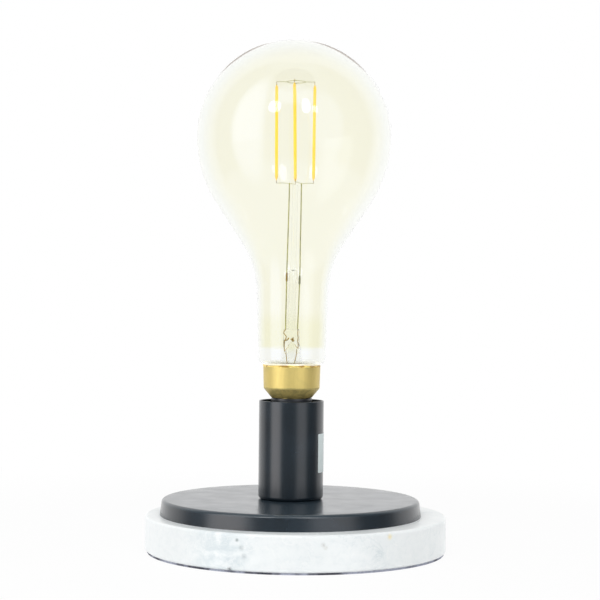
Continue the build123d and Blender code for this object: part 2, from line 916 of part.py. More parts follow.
def lead_wire(side):
    foot = (side * wire_spread / 2 + wire_radius) * lean_run
    body = disc(wire_radius, wire_length - foot, foot)
    return leaned(Pos(side * wire_spread / 2, 0, 0) * body)


def splice(side, rise):
    body = ring(splice_radius, wire_radius + splice_fit, splice_length, rise)
    return leaned(Pos(side * wire_spread / 2, 0, 0) * body)


def link(side):
    """The wires from a lead's top to its own filament and to the front or back one."""
    x = mount_top_x + side * wire_spread / 2 * lean_rise
    foot = wire_top + (wire_radius - side * wire_spread / 2) * lean_run
    hub = Pos(x, 0, 0) * disc(link_hub_radius, link_hub_height, foot)
    start = Vector(x, 0, link_height)
    for target in ((cage_shift + side * cage_radius, 0), (cage_shift, -side * cage_radius)):
        along = Vector(*target, link_height) - start
        reach = along.length - filament_pin_radius
        hub += rod(start, start + along.normalized() * reach, link_radius)
    return hub


def cage_turn(index):
    """The angle of one of the cage's sides."""
    return 2 * half_turn / len(cage_sides) * index


def filament(turn):
    """A stick with pointed ends and a pin at each, on the cage at an angle."""
    body = turned(
        (0, filament_bottom - filament_pin_length - link_radius),
        (filament_pin_radius, filament_bottom - filament_pin_length - link_radius),
        (filament_pin_radius, filament_bottom),
        (filament_radius, filament_bottom + filament_point),
        (filament_radius, filament_top - filament_point),
        (filament_pin_radius, filament_top),
        (filament_pin_radius, ring_height + top_ring_wire_radius),
        (0, ring_height + top_ring_wire_radius),
    )
    place = Pos(cage_shift, 0, 0) * PolarLocations(cage_radius, 1, turn).locations[0]
    return place * body


def top_ring():
    body = Torus(top_ring_radius, top_ring_wire_radius)
    arm = rod((top_ring_radius, 0, 0), (cage_radius - filament_pin_radius, 0, 0), top_ring_wire_radius)
    for index in range(len(cage_sides)):
        body += Rot(0, 0, cage_turn(index)) * arm
    return Pos(cage_shift, 0, ring_height) * body


def driver_board():
    return block(board_width, board_thickness, board_height, board_bottom)


def driver_capacitor():
    y = board_thickness / 2 + capacitor_radius
    return Pos(0, y, 0) * disc(capacitor_radius, capacitor_height, board_bottom + capacitor_rise)


def driver_inductor():
    """A wound drum that lies on the board."""
    waist = inductor_height - 2 * inductor_flange_thickness
    drum = disc(inductor_waist_radius, inductor_height, 0)
    drum += disc(inductor_flange_radius, inductor_flange_thickness, 0)
    drum += disc(inductor_flange_radius, inductor_flange_thickness, inductor_flange_thickness + waist)
    return Pos(0, -board_thickness / 2, board_bottom + inductor_rise) * Rot(90, 0, 0) * drum


def driver_rectifier():
    y = -(board_thickness + rectifier_thickness) / 2
    chip = block(rectifier_width, rectifier_thickness, rectifier_height, board_bottom + rectifier_rise)
    return Pos(0, y, 0) * chip


def board_lead(side, foot_x):
    top_x = stem_shift + side * wire_spread / 2
    foot = (foot_x, 0, board_top + board_lead_gap)
    return rod(foot, (top_x, 0, pinch_bottom - board_lead_gap), board_lead_radius)


def eyelet_lead():
    bottom = eyelet_seat + eyelet_stem_height + board_lead_gap
    return disc(board_lead_radius, board_bottom - bottom, bottom)


def side_wire():
    z = board_bottom + side_wire_rise
    return rod((board_width / 2, 0, z), (cap_inner_radius - board_lead_gap, 0, z), side_wire_radius)


# Pieces on the marble's axis, then pieces on the column's axis
centred = {
    "base_pad": base_pad(),
    "marble_base": marble_base(),
    "cord_bush": cord_bush(),
}
on_column = {
    "base_plate": base_plate(),
    "plate_spacer": plate_spacer(),
    "socket_cup": socket_cup(),
    "blank_label": blank_label(),
    "threaded_nipple": threaded_nipple(),
    "nipple_bush": nipple_bush(),
    "penny_washer": penny_washer(),
    "toothed_washer": toothed_washer(),
    "nipple_nut": nipple_nut(),
    "cup_nut": cup_nut(),
    "terminal_block": terminal_block(),
    "block_tubes": block_tubes(),
    "block_screws": block_screws(),
    "block_fixing_screw": block_fixing_screw(),
    "live_lead": lead(1),
    "neutral_lead": lead(-1),
    "holder_cap": holder_cap(),
    "grub_screw": grub_screw(),
    "holder_core": holder_core(),
    "holder_sleeve": holder_sleeve(),
    "screw_shell": screw_shell(),
    "shell_rivets": shell_rivets(),
    "live_terminal": live_terminal(),
    "neutral_terminal": neutral_terminal(),
    "terminal_screws": terminal_screws(),
    "contact_spring": contact_spring(),
    "centre_contact": centre_contact(),
    "contact_clip": contact_clip(),
    "cap_eyelet": cap_eyelet(),
    "cap_insulator": cap_insulator(),
    "cap_shell": cap_shell(),
    "cap_skirt": cap_skirt(),
    "cap_cement": cap_cement(),
    "glass_bulb": glass_bulb(),
    "stem_flare": stem_flare(),
    "exhaust_tip": exhaust_tip(),
    "stem_tube": stem_tube(),
    "stem_rod": stem_rod(),
    "splice_left": splice(-1, splice_left_rise),
    "splice_right": splice(1, splice_right_rise),
    "top_ring": top_ring(),
    "driver_board": driver_board(),
    "driver_capacitor": driver_capacitor(),
    "driver_inductor": driver_inductor(),
    "driver_rectifier": driver_rectifier(),
    "board_lead_left": board_lead(-1, board_lead_left_x),
    "board_lead_right": board_lead(1, board_lead_right_x),
    "eyelet_lead": eyelet_lead(),
    "side_wire": side_wire(),
}
for name, side in (("left", -1), ("right", 1)):
    on_column[f"lead_wire_{name}"] = lead_wire(side)
    on_column[f"link_{name}"] = link(side)
for index, name in enumerate(cage_sides):
    on_column[f"filament_{name}"] = filament(cage_turn(index))

os.makedirs("parts", exist_ok=True)
for name, piece in centred.items():
    export_step(piece, f"parts/{name}.step")
for name, piece in on_column.items():
    export_step(Pos(column_x, 0, 0) * piece, f"parts/{name}.step")
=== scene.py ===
"""A table lamp with a giant filament bulb: fine pieces and finishes on its fixed frame.

Lengths are metres, +Z is up, -Y is the front and the lamp stands on the floor at height 0.
"""

import json
import math

import bpy
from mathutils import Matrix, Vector

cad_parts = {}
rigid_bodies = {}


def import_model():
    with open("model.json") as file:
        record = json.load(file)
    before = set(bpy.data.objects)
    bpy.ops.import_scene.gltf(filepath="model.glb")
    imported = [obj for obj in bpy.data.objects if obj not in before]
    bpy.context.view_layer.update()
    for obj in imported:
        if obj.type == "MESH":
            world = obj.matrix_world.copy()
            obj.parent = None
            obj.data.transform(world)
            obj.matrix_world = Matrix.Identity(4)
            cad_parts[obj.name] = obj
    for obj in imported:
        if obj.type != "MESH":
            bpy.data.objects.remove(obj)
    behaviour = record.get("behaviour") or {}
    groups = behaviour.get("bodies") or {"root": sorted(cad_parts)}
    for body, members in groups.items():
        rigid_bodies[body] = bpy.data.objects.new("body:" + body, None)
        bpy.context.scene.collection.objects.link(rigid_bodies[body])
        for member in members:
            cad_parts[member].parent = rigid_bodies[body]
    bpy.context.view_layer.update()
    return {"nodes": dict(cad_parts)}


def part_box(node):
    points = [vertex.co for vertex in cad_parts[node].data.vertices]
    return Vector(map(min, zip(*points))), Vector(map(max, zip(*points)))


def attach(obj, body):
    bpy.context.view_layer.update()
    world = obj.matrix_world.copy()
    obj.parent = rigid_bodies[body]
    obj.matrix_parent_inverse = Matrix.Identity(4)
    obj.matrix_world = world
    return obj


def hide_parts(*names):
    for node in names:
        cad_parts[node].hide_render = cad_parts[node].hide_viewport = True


bl_info = {
    "name": "Filament Table Lamp",
    "version": (1, 0, 0),
    "blender": (4, 5, 0),
    "location": "3D View > Sidebar > Lamp",
    "description": "Dresses the frame of a table lamp with its glass, wires, brass and finishes",
    "category": "Add Mesh",
}

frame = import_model()

MM = 0.001
FULL_TURN = 2 * math.pi
WHITE = (1, 1, 1)

cup_low, cup_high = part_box("socket_cup")
glass_low, glass_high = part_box("glass_bulb")
flare_low, flare_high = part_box("stem_flare")
skirt_low, skirt_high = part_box("cap_skirt")
shell_low, shell_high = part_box("cap_shell")
label_low, label_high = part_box("blank_label")
link_low, link_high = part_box("link_left")
ring_low, ring_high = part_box("top_ring")
board_low, board_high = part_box("driver_board")
stick_low, stick_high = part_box("filament_front")
plate_low, plate_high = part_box("base_plate")

AXIS_X = (cup_low.x + cup_high.x) / 2
CUP_RADIUS = (cup_high.x - cup_low.x) / 2
BULB_RADIUS = (glass_high.x - glass_low.x) / 2
BELLY_Z = glass_high.z - BULB_RADIUS


# Settings

def setting(kind=bpy.props.FloatProperty, **options):
    """A maker of settings of one kind, from a name, a description and a default."""
    def make(name, description, default):
        return kind(name=name, description=description, default=default, **options)
    return make


length = setting(precision=5, unit="LENGTH", subtype="DISTANCE")
amount = setting(precision=4)
power = setting(unit="POWER")
lens = setting(unit="CAMERA")
count = setting(bpy.props.IntProperty, min=3)
colour = setting(bpy.props.FloatVectorProperty, size=3, min=0, max=1, subtype="COLOR")


def angle(name, description, degrees):
    """An angle that the sidebar shows in degrees."""
    return setting(unit="ROTATION", subtype="ANGLE")(name, description, math.radians(degrees))


class LampStage(bpy.types.PropertyGroup):
    """Camera, floor, world and lights"""

    camera_distance: length("Camera distance", "How far in front of the lamp the camera stands", 1.35)
    camera_height: length("Camera height", "Height of the lens above the floor", 0.206)
    camera_side: length("Camera side", "How far right of the column the camera stands", 0.0062)
    camera_turn: angle("Camera turn", "How far the camera is turned about its line of sight", -0.55)
    camera_lens: lens("Lens", "Focal length of the camera", 98.54)
    sensor_width: lens("Sensor", "Width of the camera's sensor", 36)
    floor_size: length("Floor size", "Width of the square floor", 8.0)
    floor_near: length("Shadow reach", "How far from the lamp the floor still shows its shadow", 0.3)
    floor_far: length("Shadow end", "Where the floor is as bright as the background", 0.7)
    floor_colour: colour("Floor colour", "Colour of the floor in full light", (0.85, 0.85, 0.85))
    shadow_share: amount("Shadow share", "How much of the nearby floor is lit by the lamps alone", 0.07)
    ambient: amount("Ambient light", "Strength of the studio's own light on plain surfaces", 0.74)
    front_level: amount("Front level", "Brightness of the studio in front, as gloss shows it", 0.48)
    side_level: amount("Right level", "Brightness of the studio at the right, as gloss shows it", 0.28)
    rear_level: amount("Rear level", "Brightness of the studio behind, as gloss shows it", 1.27)
    top_level: amount("Top level", "Brightness of the studio overhead, as gloss shows it", 0.8)
    low_level: amount("Low level", "Brightness of the table, as gloss shows it", 1.25)
    through_level: amount("Through level", "Least brightness of the studio seen through glass", 0.95)
    front_colour: colour("Front colour", "Colour of the studio in front, in gloss", (0.88, 0.97, 1.0))
    left_power: power("Left softbox", "Power of the tall softbox", 2.7)
    right_power: power("Right fill", "Power of the right fill", 1.2)
    high_power: power("High lamps", "Power of the left one of the two small high lamps", 3.0)
    high_share: amount("High share", "Power of the right high lamp as a share of the left one's", 0.72)


class LampGlass(bpy.types.PropertyGroup):
    """The pear-shaped bulb and its amber coat"""

    wall: length("Wall", "Thickness of the blown glass", 1.0 * MM)
    belly_arc: length("Belly arc", "Radius of the curve below the widest place", 98.6 * MM)
    throat_arc: length("Throat arc", "Radius of the hollow curve into the neck", 77.6 * MM)
    flank: angle("Flank", "Slope of the straight stretch under the belly", 33.6)
    taper: angle("Taper", "Slope of the neck", 1.63)
    neck_foot: length("Neck foot", "Radius at the foot of the neck", 27.85 * MM)
    tube: length("Tube", "Radius of the tube that sits in the brass", 22.3 * MM)
    heel_drop: length("Heel drop", "How far the heel hangs below the top of the brass", 1.1 * MM)
    seat_gap: length("Seat gap", "Gap between the heel of the glass and the brass rim", 0.2 * MM)
    foot_drop: length("Foot drop", "Start of the cemented foot below the brass rim", 0.35 * MM)
    # Painted light: the cement on the glass's foot glows, in place of the light that does not reach it
    # inside the cap
    foot_glow: amount("Foot glow", "Light that the thick foot of the glass carries to its cement", 0.6)
    bend: amount("Bend", "Refraction of the bulb's glass", 1.5)
    steps: count("Steps", "Sides round the bulb", 224)
    coat_rise: length("Coat rise", "Where the amber coat ends above the brass rim", 12.4 * MM)
    coat_fade: length("Coat fade", "Height over which the coat fades out", 3.0 * MM)
    pool_start: length("Pool start", "Where the coat starts to thicken above its lower end", 34.0 * MM)
    pool_full: length("Pool full", "Where the coat is thickest above its lower end", 16.0 * MM)
    tint: colour("Tint", "Colour of the coated glass seen square on", (0.967, 0.962, 0.879))
    pool_tint: colour("Pool tint", "Colour of the thicker coat low in the neck", (0.950, 0.944, 0.823))
    # Painted sheen: the coat is painted paler and bluer at a slant, in place of the studio that its rim
    # mirrors
    slant_tint: colour("Deep tint", "Colour of the coated glass seen at a slant", (0.925, 0.945, 0.975))
    clear_tint: colour("Clear tint", "Colour of the bare glass", (0.962, 0.967, 0.945))
    sheen: colour("Sheen", "Colour of what the coat mirrors when seen square on", (0.45, 0.55, 1.0))


class LampMount(bpy.types.PropertyGroup):
    """The glass mount inside the bulb, with its wires"""

    flare_wall: length("Flare wall", "Thickness of the flared tube", 1.0 * MM)
    flare_neck: length("Flare neck", "Outer radius of the flared tube's neck", 7.0 * MM)
    pinch_height: length("Pinch height", "Height of the flattened seal", 13.0 * MM)
    pinch_width: length("Pinch width", "Width of the flattened seal", 13.2 * MM)
    pinch_depth: length("Pinch depth", "Thickness of the flattened seal", 5.0 * MM)
    bend: amount("Bend", "Refraction of the mount's glass", 1.22)
    shift: length("Shift", "Sideways place of the seal", -0.6 * MM)
    lean: angle("Lean", "How far the mount leans to the right", 1.05)
    tube_radius: length("Tube radius", "Radius of the lower glass tube", 3.5 * MM)
    tube_wall: length("Tube wall", "Wall of the lower glass tube", 0.8 * MM)
    tube_length: length("Tube length", "Length of the lower glass tube", 48.9 * MM)
    rod_radius: length("Rod radius", "Radius of the upper glass rod", 2.3 * MM)
    rod_length: length("Rod length", "Length of the upper glass rod", 70.1 * MM)
    exhaust_radius: length("Exhaust radius", "Radius of the sealed exhaust tube", 2.4 * MM)
    exhaust_length: length("Exhaust length", "Length of the sealed exhaust tube", 17.0 * MM)
    wire_radius: length("Wire radius", "Radius of the long lead wires", 0.5 * MM)
    wire_spread: length("Wire spread", "Distance between the long lead wires", 9.8 * MM)
    wire_length: length("Wire length", "Length of the long lead wires above the seal", 119.5 * MM)
    seal_wire_radius: length("Seal wire radius", "Radius of the thin wires in the seal", 0.36 * MM)
    sleeve_radius: length("Sleeve radius", "Radius of the welded sleeves", 0.88 * MM)
    sleeve_length: length("Sleeve length", "Length of the welded sleeves", 7.4 * MM)
    sleeve_left: length("Left sleeve", "Height of the left sleeve above the seal", 39.0 * MM)
    sleeve_right: length("Right sleeve", "Height of the right sleeve above the seal", 36.8 * MM)
    tint: colour("Tint", "Colour of the mount's glass seen square on", (0.985, 0.99, 0.985))
    slant_tint: colour("Deep tint", "Colour of the mount's glass seen at a slant", (0.93, 0.94, 0.92))


class LampCage(bpy.types.PropertyGroup):
    """The square cage of filament sticks"""

    shift: length("Shift", "Sideways place of the cage", 1.5 * MM)
    lift: length("Lift", "How far the cage's top is pulled up", 0.7 * MM)
    radius: length("Radius", "Distance of the sticks from the cage's middle", 15.6 * MM)
    stick_radius: length("Stick radius", "Radius of a coated stick", 1.25 * MM)
    stick_length: length("Stick length", "Length of a stick's coat", 77.5 * MM)
    stick_point: length("Stick point", "Length of each tapered end", 2.6 * MM)
    pin_radius: length("Pin radius", "Radius of the pins at a stick's ends", 0.27 * MM)
    pin_length: length("Pin length", "Length of the pins at a stick's ends", 2.5 * MM)
    ring_radius: length("Ring radius", "Radius of the wire ring at the top", 7.6 * MM)
    ring_wire: length("Ring wire", "Radius of the ring's wire", 0.22 * MM)
    link_wire: length("Link wire", "Radius of the thin links at the foot", 0.2 * MM)
    chip_pitch: length("Chip pitch", "Distance between the chips in a stick", 2.7 * MM)
    coat_glow: amount("Coat glow", "Light of the coat, in place of what the glass takes", 0.33)
    coat: colour("Coat", "Colour of the phosphor coat", (1.0, 0.76, 0.035))
    coat_end: colour("Coat end", "Colour of the coat at the tapered ends", (1.0, 0.70, 0.09))


class LampCap(bpy.types.PropertyGroup):
    """The brass skirt of the bulb's cap"""

    sheet: length("Sheet", "Thickness of the brass", 0.5 * MM)
    foot_radius: length("Foot radius", "Radius of the flat foot", 16.5 * MM)
    waist_radius: length("Waist radius", "Radius where the cone meets the wall", 23.0 * MM)
    waist_rise: length("Waist rise", "Height of the cone", 7.8 * MM)
    corner: length("Corner", "Rounding of the pressed corners", 0.9 * MM)
    bead: length("Bead", "Radius of the rolled lip", 0.55 * MM)
    lip_drop: length("Lip drop", "How far the lip stands below the heel of the glass", 0.65 * MM)
    unevenness: length("Unevenness", "How far the rolled lip wanders", 2.2 * MM)
    steps: count("Steps", "Sides round the skirt", 144)
    brass: colour("Brass", "Colour of the clean brass", (0.645, 0.505, 0.170))
    # This colour also paints shade on the cone and the pressed corner, which mirror the dark cup below
    tarnish_and_shade: colour("Tarnish", "Colour of the tarnished brass", (0.34, 0.28, 0.10))


class LampBase(bpy.types.PropertyGroup):
    """Label, paint and marble"""

    label_thickness: length("Label thickness", "Thickness of the paper label", 0.12 * MM)
    label_gap: length("Label gap", "Gap between the cup and the label", 0.06 * MM)
    label_rows: count("Label rows", "Faces up the label", 16)
    label_columns: count("Label columns", "Faces round the label", 36)
    label_start: angle("Label start", "Where the label starts, round from the front", 56.0)
    label_wrap: angle("Label wrap", "How far the label goes round the cup", 73.2)
    label_corner: length("Label corner", "Rounding of the label's corners", 1.2 * MM)
    plate_splay: length("Plate splay", "How far the plate's wall leans out to its foot", 1.2 * MM)
    plate_shoulder: length("Plate shoulder", "Rounding of the plate's upper edge", 3.0 * MM)
    # Painted sheen: how strongly a pale bluish haze is painted on the plate's top and rounded shoulder,
    # standing in for the studio's gloss there
    plate_painted_sheen: amount("Plate bloom", "How much dust greys the top of the plate", 0.45)
    plate_sheet: length("Plate sheet", "Thickness of the plate's sheet", 1.5 * MM)
    plate_hole: length("Plate hole", "Radius of the hole in the middle of the plate", 5.3 * MM)
    plate_steps: count("Plate steps", "Sides round the plate", 256)
    paper: colour("Paper", "Colour of the label", (0.69, 0.775, 0.775))
    # The paint's own black, with a blue cast that is a painted reflection of the cool studio in front
    paint: colour("Paint", "Colour of the black satin paint", (0.0055, 0.0105, 0.0165))
    marble: colour("Marble", "Colour of the marble's ground", (0.855, 0.883, 0.887))
    vein: colour("Vein", "Colour of the marble's veins", (0.50, 0.585, 0.62))


# Helpers for shapes

# Points closer than this are welded
WELD_GAP = 0.001 * MM

# Angle in degrees up to which the edges of a round piece look smooth
ROUND = 60

# Places along a straight stretch that get a point of their own
QUARTERS = (0.25, 0.5, 0.75)


def shift_x(x):
    """A place across the lamp, measured from the column's axis."""
    return AXIS_X + x


def between(first, second, share):
    """A point part of the way from one to another."""
    return tuple(a + (b - a) * share for a, b in zip(first, second))


def start_piece():
    """Leave edit mode and select nothing, so that the next operator acts on new work alone."""
    if bpy.context.mode != "OBJECT":
        bpy.ops.object.mode_set(mode="OBJECT")
    bpy.ops.object.select_all(action="DESELECT")


def only(piece):
    """Select one piece and make it active."""
    start_piece()
    piece.select_set(True)
    bpy.context.view_layer.objects.active = piece


def open_piece(name):
    """Name the piece that was just added, and open it for editing with all of it selected."""
    piece = bpy.context.object
    piece.name = name
    bpy.ops.object.mode_set(mode="EDIT")
    bpy.ops.mesh.select_all(action="SELECT")
    return piece


def start_point(name, place):
    """A new piece of a single point, open for editing."""
    start_piece()
    bpy.ops.mesh.primitive_plane_add(size=MM, location=place)
    piece = open_piece(name)
    bpy.ops.mesh.merge(type="CENTER")
    return piece


def settle(piece, smooth_degrees):
    """Put a piece's place in its mesh and smooth its faces."""
    only(piece)
    bpy.ops.object.transform_apply(location=True, rotation=True, scale=True)
    bpy.ops.object.shade_smooth_by_angle(angle=math.radians(smooth_degrees))
    return piece


def weld_skin():
    """Weld the open piece's points where they meet, and turn its faces outward."""
    bpy.ops.mesh.select_all(action="SELECT")
    bpy.ops.mesh.remove_doubles(threshold=WELD_GAP)
    bpy.ops.mesh.normals_make_consistent(inside=False)


def close_skin(piece, smooth_degrees=ROUND):
    """Weld the open piece and settle it."""
    weld_skin()
    return settle(piece, smooth_degrees)


def arc_points(centre, radius, start, end, steps):
    """Points along an arc between two angles in radians, both ends included."""
    turns = [start + (end - start) * step / steps for step in range(steps + 1)]
    return [(centre[0] + radius * math.cos(turn), centre[1] + radius * math.sin(turn)) for turn in turns]


def turn_open(steps, reach):
    """Turn the open piece's line about the column's axis."""
    bpy.ops.mesh.select_all(action="SELECT")
    bpy.ops.mesh.spin(steps=steps, angle=reach, center=(AXIS_X, 0, 0), axis=(0, 0, 1))


def lathe(name, outline, steps, smooth_degrees=ROUND):
    """Turn an outline of radii and heights about the column's axis."""
    radius, height = outline[0]
    piece = start_point(name, (shift_x(radius), 0, height))
    for (radius_a, height_a), (radius_b, height_b) in zip(outline, outline[1:]):
        step = (radius_b - radius_a, 0, height_b - height_a)
        bpy.ops.mesh.extrude_region_move(TRANSFORM_OT_translate={"value": step})
    turn_open(steps, FULL_TURN)
    return close_skin(piece, smooth_degrees)


def loft(name, rings, sides, smooth_degrees=50):
    """Skin level ovals, each given by its middle and its half width and half depth."""
    start_piece()
    middle, width, depth = rings[0]
    bpy.ops.mesh.primitive_circle_add(vertices=sides, radius=width, fill_type="NOTHING", location=middle)
    piece = open_piece(name)
    bpy.ops.transform.resize(value=(1, depth / width, 1), center_override=middle)
    for (old, old_width, old_depth), (new, new_width, new_depth) in zip(rings, rings[1:]):
        step = Vector(new) - Vector(old)
        growth = (new_width / old_width, new_depth / old_depth, 1)
        bpy.ops.mesh.extrude_region_move(TRANSFORM_OT_translate={"value": step})
        bpy.ops.transform.resize(value=growth, center_override=new)
    bpy.ops.mesh.select_all(action="SELECT")
    bpy.ops.mesh.fill_holes(sides=0)
    return close_skin(piece, smooth_degrees)


def round_loft(name, stations, sides, smooth_degrees=50):
    """Skin level circles, each given by its middle and its radius."""
    return loft(name, [(middle, radius, radius) for middle, radius in stations], sides, smooth_degrees)


def wire(name, points, radius, closed=False, sides=3, detail=6):
    """A round wire through points, bent smoothly between them."""
    start_piece()
    bpy.ops.curve.primitive_bezier_curve_add(location=(0, 0, 0))
    piece = bpy.context.object
    line = piece.data
    spline = line.splines[0]
    spline.bezier_points.add(len(points) - len(spline.bezier_points))
    for knot, place in zip(spline.bezier_points, points):
        knot.co = place
        knot.handle_left_type = knot.handle_right_type = "AUTO"
    spline.use_cyclic_u = closed
    line.dimensions = "3D"
    line.resolution_u = detail
    line.bevel_depth = radius
    line.bevel_resolution = sides
    line.use_fill_caps = not closed
    only(piece)
    bpy.ops.object.convert(target="MESH")
    return close_skin(open_piece(name))


def joined(name, pieces):
    """Join several shapes into one piece."""
    start_piece()
    for piece in pieces:
        piece.select_set(True)
    bpy.context.view_layer.objects.active = pieces[0]
    bpy.ops.object.join()
    piece = bpy.context.object
    piece.name = name
    return piece


def weld_drop(place, radius, stretch=1.0):
    """A small bead of weld metal."""
    start_piece()
    bpy.ops.mesh.primitive_ico_sphere_add(subdivisions=3, radius=radius, location=place)
    piece = open_piece("weld")
    bpy.ops.transform.resize(value=(1, 1, stretch), center_override=place)
    bpy.ops.mesh.vertices_smooth(factor=0.2)
    return settle(piece, ROUND)


def wear(piece, *materials):
    """Give a piece its materials."""
    piece.data.materials.clear()
    for material in materials:
        piece.data.materials.append(material)


def hand_in(piece, body, node):
    """Put a finished piece on its body, and hide the node of the frame that it replaces."""
    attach(piece, body)
    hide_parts(node)


# Helpers for materials

class Board:
    """A short way to add and join the nodes of one node tree."""

    def __init__(self, tree):
        self.tree = tree

    def add(self, kind, inputs=None, **settings):
        """Add a node, set its options, and set or join its inputs."""
        node = self.tree.nodes.new(kind)
        for key, value in settings.items():
            setattr(node, key, value)
        self.feed(node.inputs, inputs or {})
        return node

    def feed(self, sockets, values):
        """Join outputs to sockets, or set the sockets' own values."""
        for key, value in values.items():
            socket = sockets[key]
            if isinstance(value, bpy.types.NodeSocket):
                self.tree.links.new(value, socket)
            elif hasattr(value, "__len__") and socket.type == "RGBA" and len(value) == 3:
                socket.default_value = (*value, 1)
            else:
                socket.default_value = value

    def place(self):
        """Where a point of the piece is, in the frame."""
        return self.add("ShaderNodeTexCoord").outputs["Object"]

    def parts(self, vector):
        """The X, Y and Z of a vector."""
        return self.add("ShaderNodeSeparateXYZ", {"Vector": vector}).outputs

    def maths(self, operation, *values):
        """A sum on one, two or three values."""
        return self.add("ShaderNodeMath", dict(enumerate(values)), operation=operation).outputs[0]

    def times(self, first, second):
        """The product of two values."""
        return self.maths("MULTIPLY", first, second)

    def fit(self, value, scale, start):
        """A value times a scale, plus a start."""
        return self.maths("MULTIPLY_ADD", value, scale, start)

    def most(self, first, second):
        """The larger of two values."""
        return self.maths("MAXIMUM", first, second)

    def apart(self, first, second):
        """How far two values are apart."""
        return self.maths("ABSOLUTE", self.maths("SUBTRACT", first, second))

    def vector(self, operation, *vectors):
        """The outputs of a sum on vectors."""
        return self.add("ShaderNodeVectorMath", dict(enumerate(vectors)), operation=operation).outputs

    def ramp(self, value, low, high, start=0.0, end=1.0, smooth=True):
        """Map a value between two limits onto another range, and stop at its ends."""
        kind = "SMOOTHSTEP" if smooth else "LINEAR"
        inputs = {"Value": value, "From Min": low, "From Max": high, "To Min": start, "To Max": end}
        node = self.add("ShaderNodeMapRange", inputs, interpolation_type=kind, clamp=True)
        return node.outputs["Result"]

    def blend(self, share, first, second):
        """Mix two colours."""
        return self.add("ShaderNodeMix", {0: share, 6: first, 7: second}, data_type="RGBA").outputs[2]

    def noise(self, vector, scale, detail=3.0, rough=0.55, twist=0.0):
        """Smooth noise from 0 to 1."""
        inputs = {"Vector": vector, "Scale": scale, "Detail": detail, "Roughness": rough,
                  "Distortion": twist}
        return self.add("ShaderNodeTexNoise", inputs).outputs["Fac"]

    def stretched(self, vector, scale):
        """A vector with its own scale on each axis."""
        return self.add("ShaderNodeMapping", {"Vector": vector, "Scale": scale}).outputs["Vector"]

    def group(self, name, vector, **inputs):
        """Place a shared group."""
        inputs["Vector"] = vector
        return self.add("ShaderNodeGroup", inputs, node_tree=bpy.data.node_groups[name]).outputs

    def bump(self, height, strength, distance):
        """A bump from a height."""
        inputs = {"Height": height, "Strength": strength, "Distance": distance}
        return self.add("ShaderNodeBump", inputs).outputs["Normal"]


def dimmed(tone, share):
    """A colour with each channel taken down to a share."""
    return [channel * share for channel in tone]


def new_group(name, inputs, outputs):
    """An empty node group with a vector, its own inputs and outputs, and a board for its nodes."""
    tree = bpy.data.node_groups.new(name, "ShaderNodeTree")
    tree.interface.new_socket(name="Vector", in_out="INPUT", socket_type="NodeSocketVector")
    for label, default in inputs.items():
        kind = "NodeSocketFloat" if isinstance(default, float) else "NodeSocketVector"
        tree.interface.new_socket(name=label, in_out="INPUT", socket_type=kind).default_value = default
    for label in outputs:
        tree.interface.new_socket(name=label, in_out="OUTPUT", socket_type="NodeSocketFloat")
    board = Board(tree)
    return board, board.add("NodeGroupInput").outputs, board.add("NodeGroupOutput").inputs


def make_grain():
    """Fine grain: a value between two limits, and a height for bumps."""
    inputs = {"Scale": 900.0, "Low": 0.3, "High": 0.4}
    board, given, made = new_group("fine_grain", inputs, ("Value", "Height"))
    fine = board.noise(given["Vector"], given["Scale"], 4.0, 0.6)
    broad = board.noise(given["Vector"], board.times(given["Scale"], 0.045), 2.0, 0.5)
    both = board.maths("ADD", board.times(fine, 0.5), board.times(broad, 0.5))
    value = board.ramp(both, 0.32, 0.68, given["Low"], given["High"])
    board.feed(made, {"Value": value, "Height": fine})


def make_dust():
    """Small scattered specks of dust, as a mask."""
    inputs = {"Scale": 120.0, "Size": 0.05, "Share": 0.12}
    board, given, made = new_group("dust_specks", inputs, ("Mask",))
    cells = board.add("ShaderNodeTexVoronoi", {"Vector": given["Vector"], "Scale": given["Scale"]})
    dot = board.ramp(cells.outputs["Distance"], given["Size"], board.times(given["Size"], 0.4))
    chance = board.maths("LESS_THAN", board.parts(cells.outputs["Color"])[0], given["Share"])
    board.feed(made, {"Mask": board.times(dot, chance)})


def make_wear():
    """Bright worn edges, as a mask broken up by noise."""
    inputs = {"Scale": 300.0, "Start": 0.52, "End": 0.6}
    board, given, made = new_group("edge_wear", inputs, ("Mask",))
    edge = board.add("ShaderNodeNewGeometry").outputs["Pointiness"]
    broken = board.ramp(board.noise(given["Vector"], given["Scale"]), 0.35, 0.65)
    board.feed(made, {"Mask": board.times(board.ramp(edge, given["Start"], given["End"]), broken)})


def make_streaks():
    """Drawn or brushed lines along one axis, as a value from 0 to 1."""
    inputs = {"Stretch": (1.0, 1.0, 0.04), "Scale": 1500.0}
    board, given, made = new_group("drawn_streaks", inputs, ("Value",))
    drawn = board.vector("MULTIPLY", given["Vector"], given["Stretch"])["Vector"]
    board.feed(made, {"Value": board.ramp(board.noise(drawn, given["Scale"], 5.0, 0.65), 0.3, 0.7)})


def make_smudge():
    """Broad soft smudges, as a value from 0 to 1."""
    board, given, made = new_group("soft_smudge", {"Scale": 40.0}, ("Value",))
    broad = board.noise(given["Vector"], given["Scale"], 3.0, 0.5, 0.6)
    board.feed(made, {"Value": board.ramp(broad, 0.4, 0.68)})


def new_material(name):
    """A material without nodes, and a board for its nodes."""
    material = bpy.data.materials.new(name)
    material.use_nodes = True
    material.node_tree.nodes.clear()
    return material, Board(material.node_tree)


def new_finish(name):
    """A material with its Principled shader joined up, a board, the shader's inputs and the place."""
    material, board = new_material(name)
    shader = board.add("ShaderNodeBsdfPrincipled")
    board.add("ShaderNodeOutputMaterial", {"Surface": shader.outputs["BSDF"]})
    return material, board, shader.inputs, board.place()


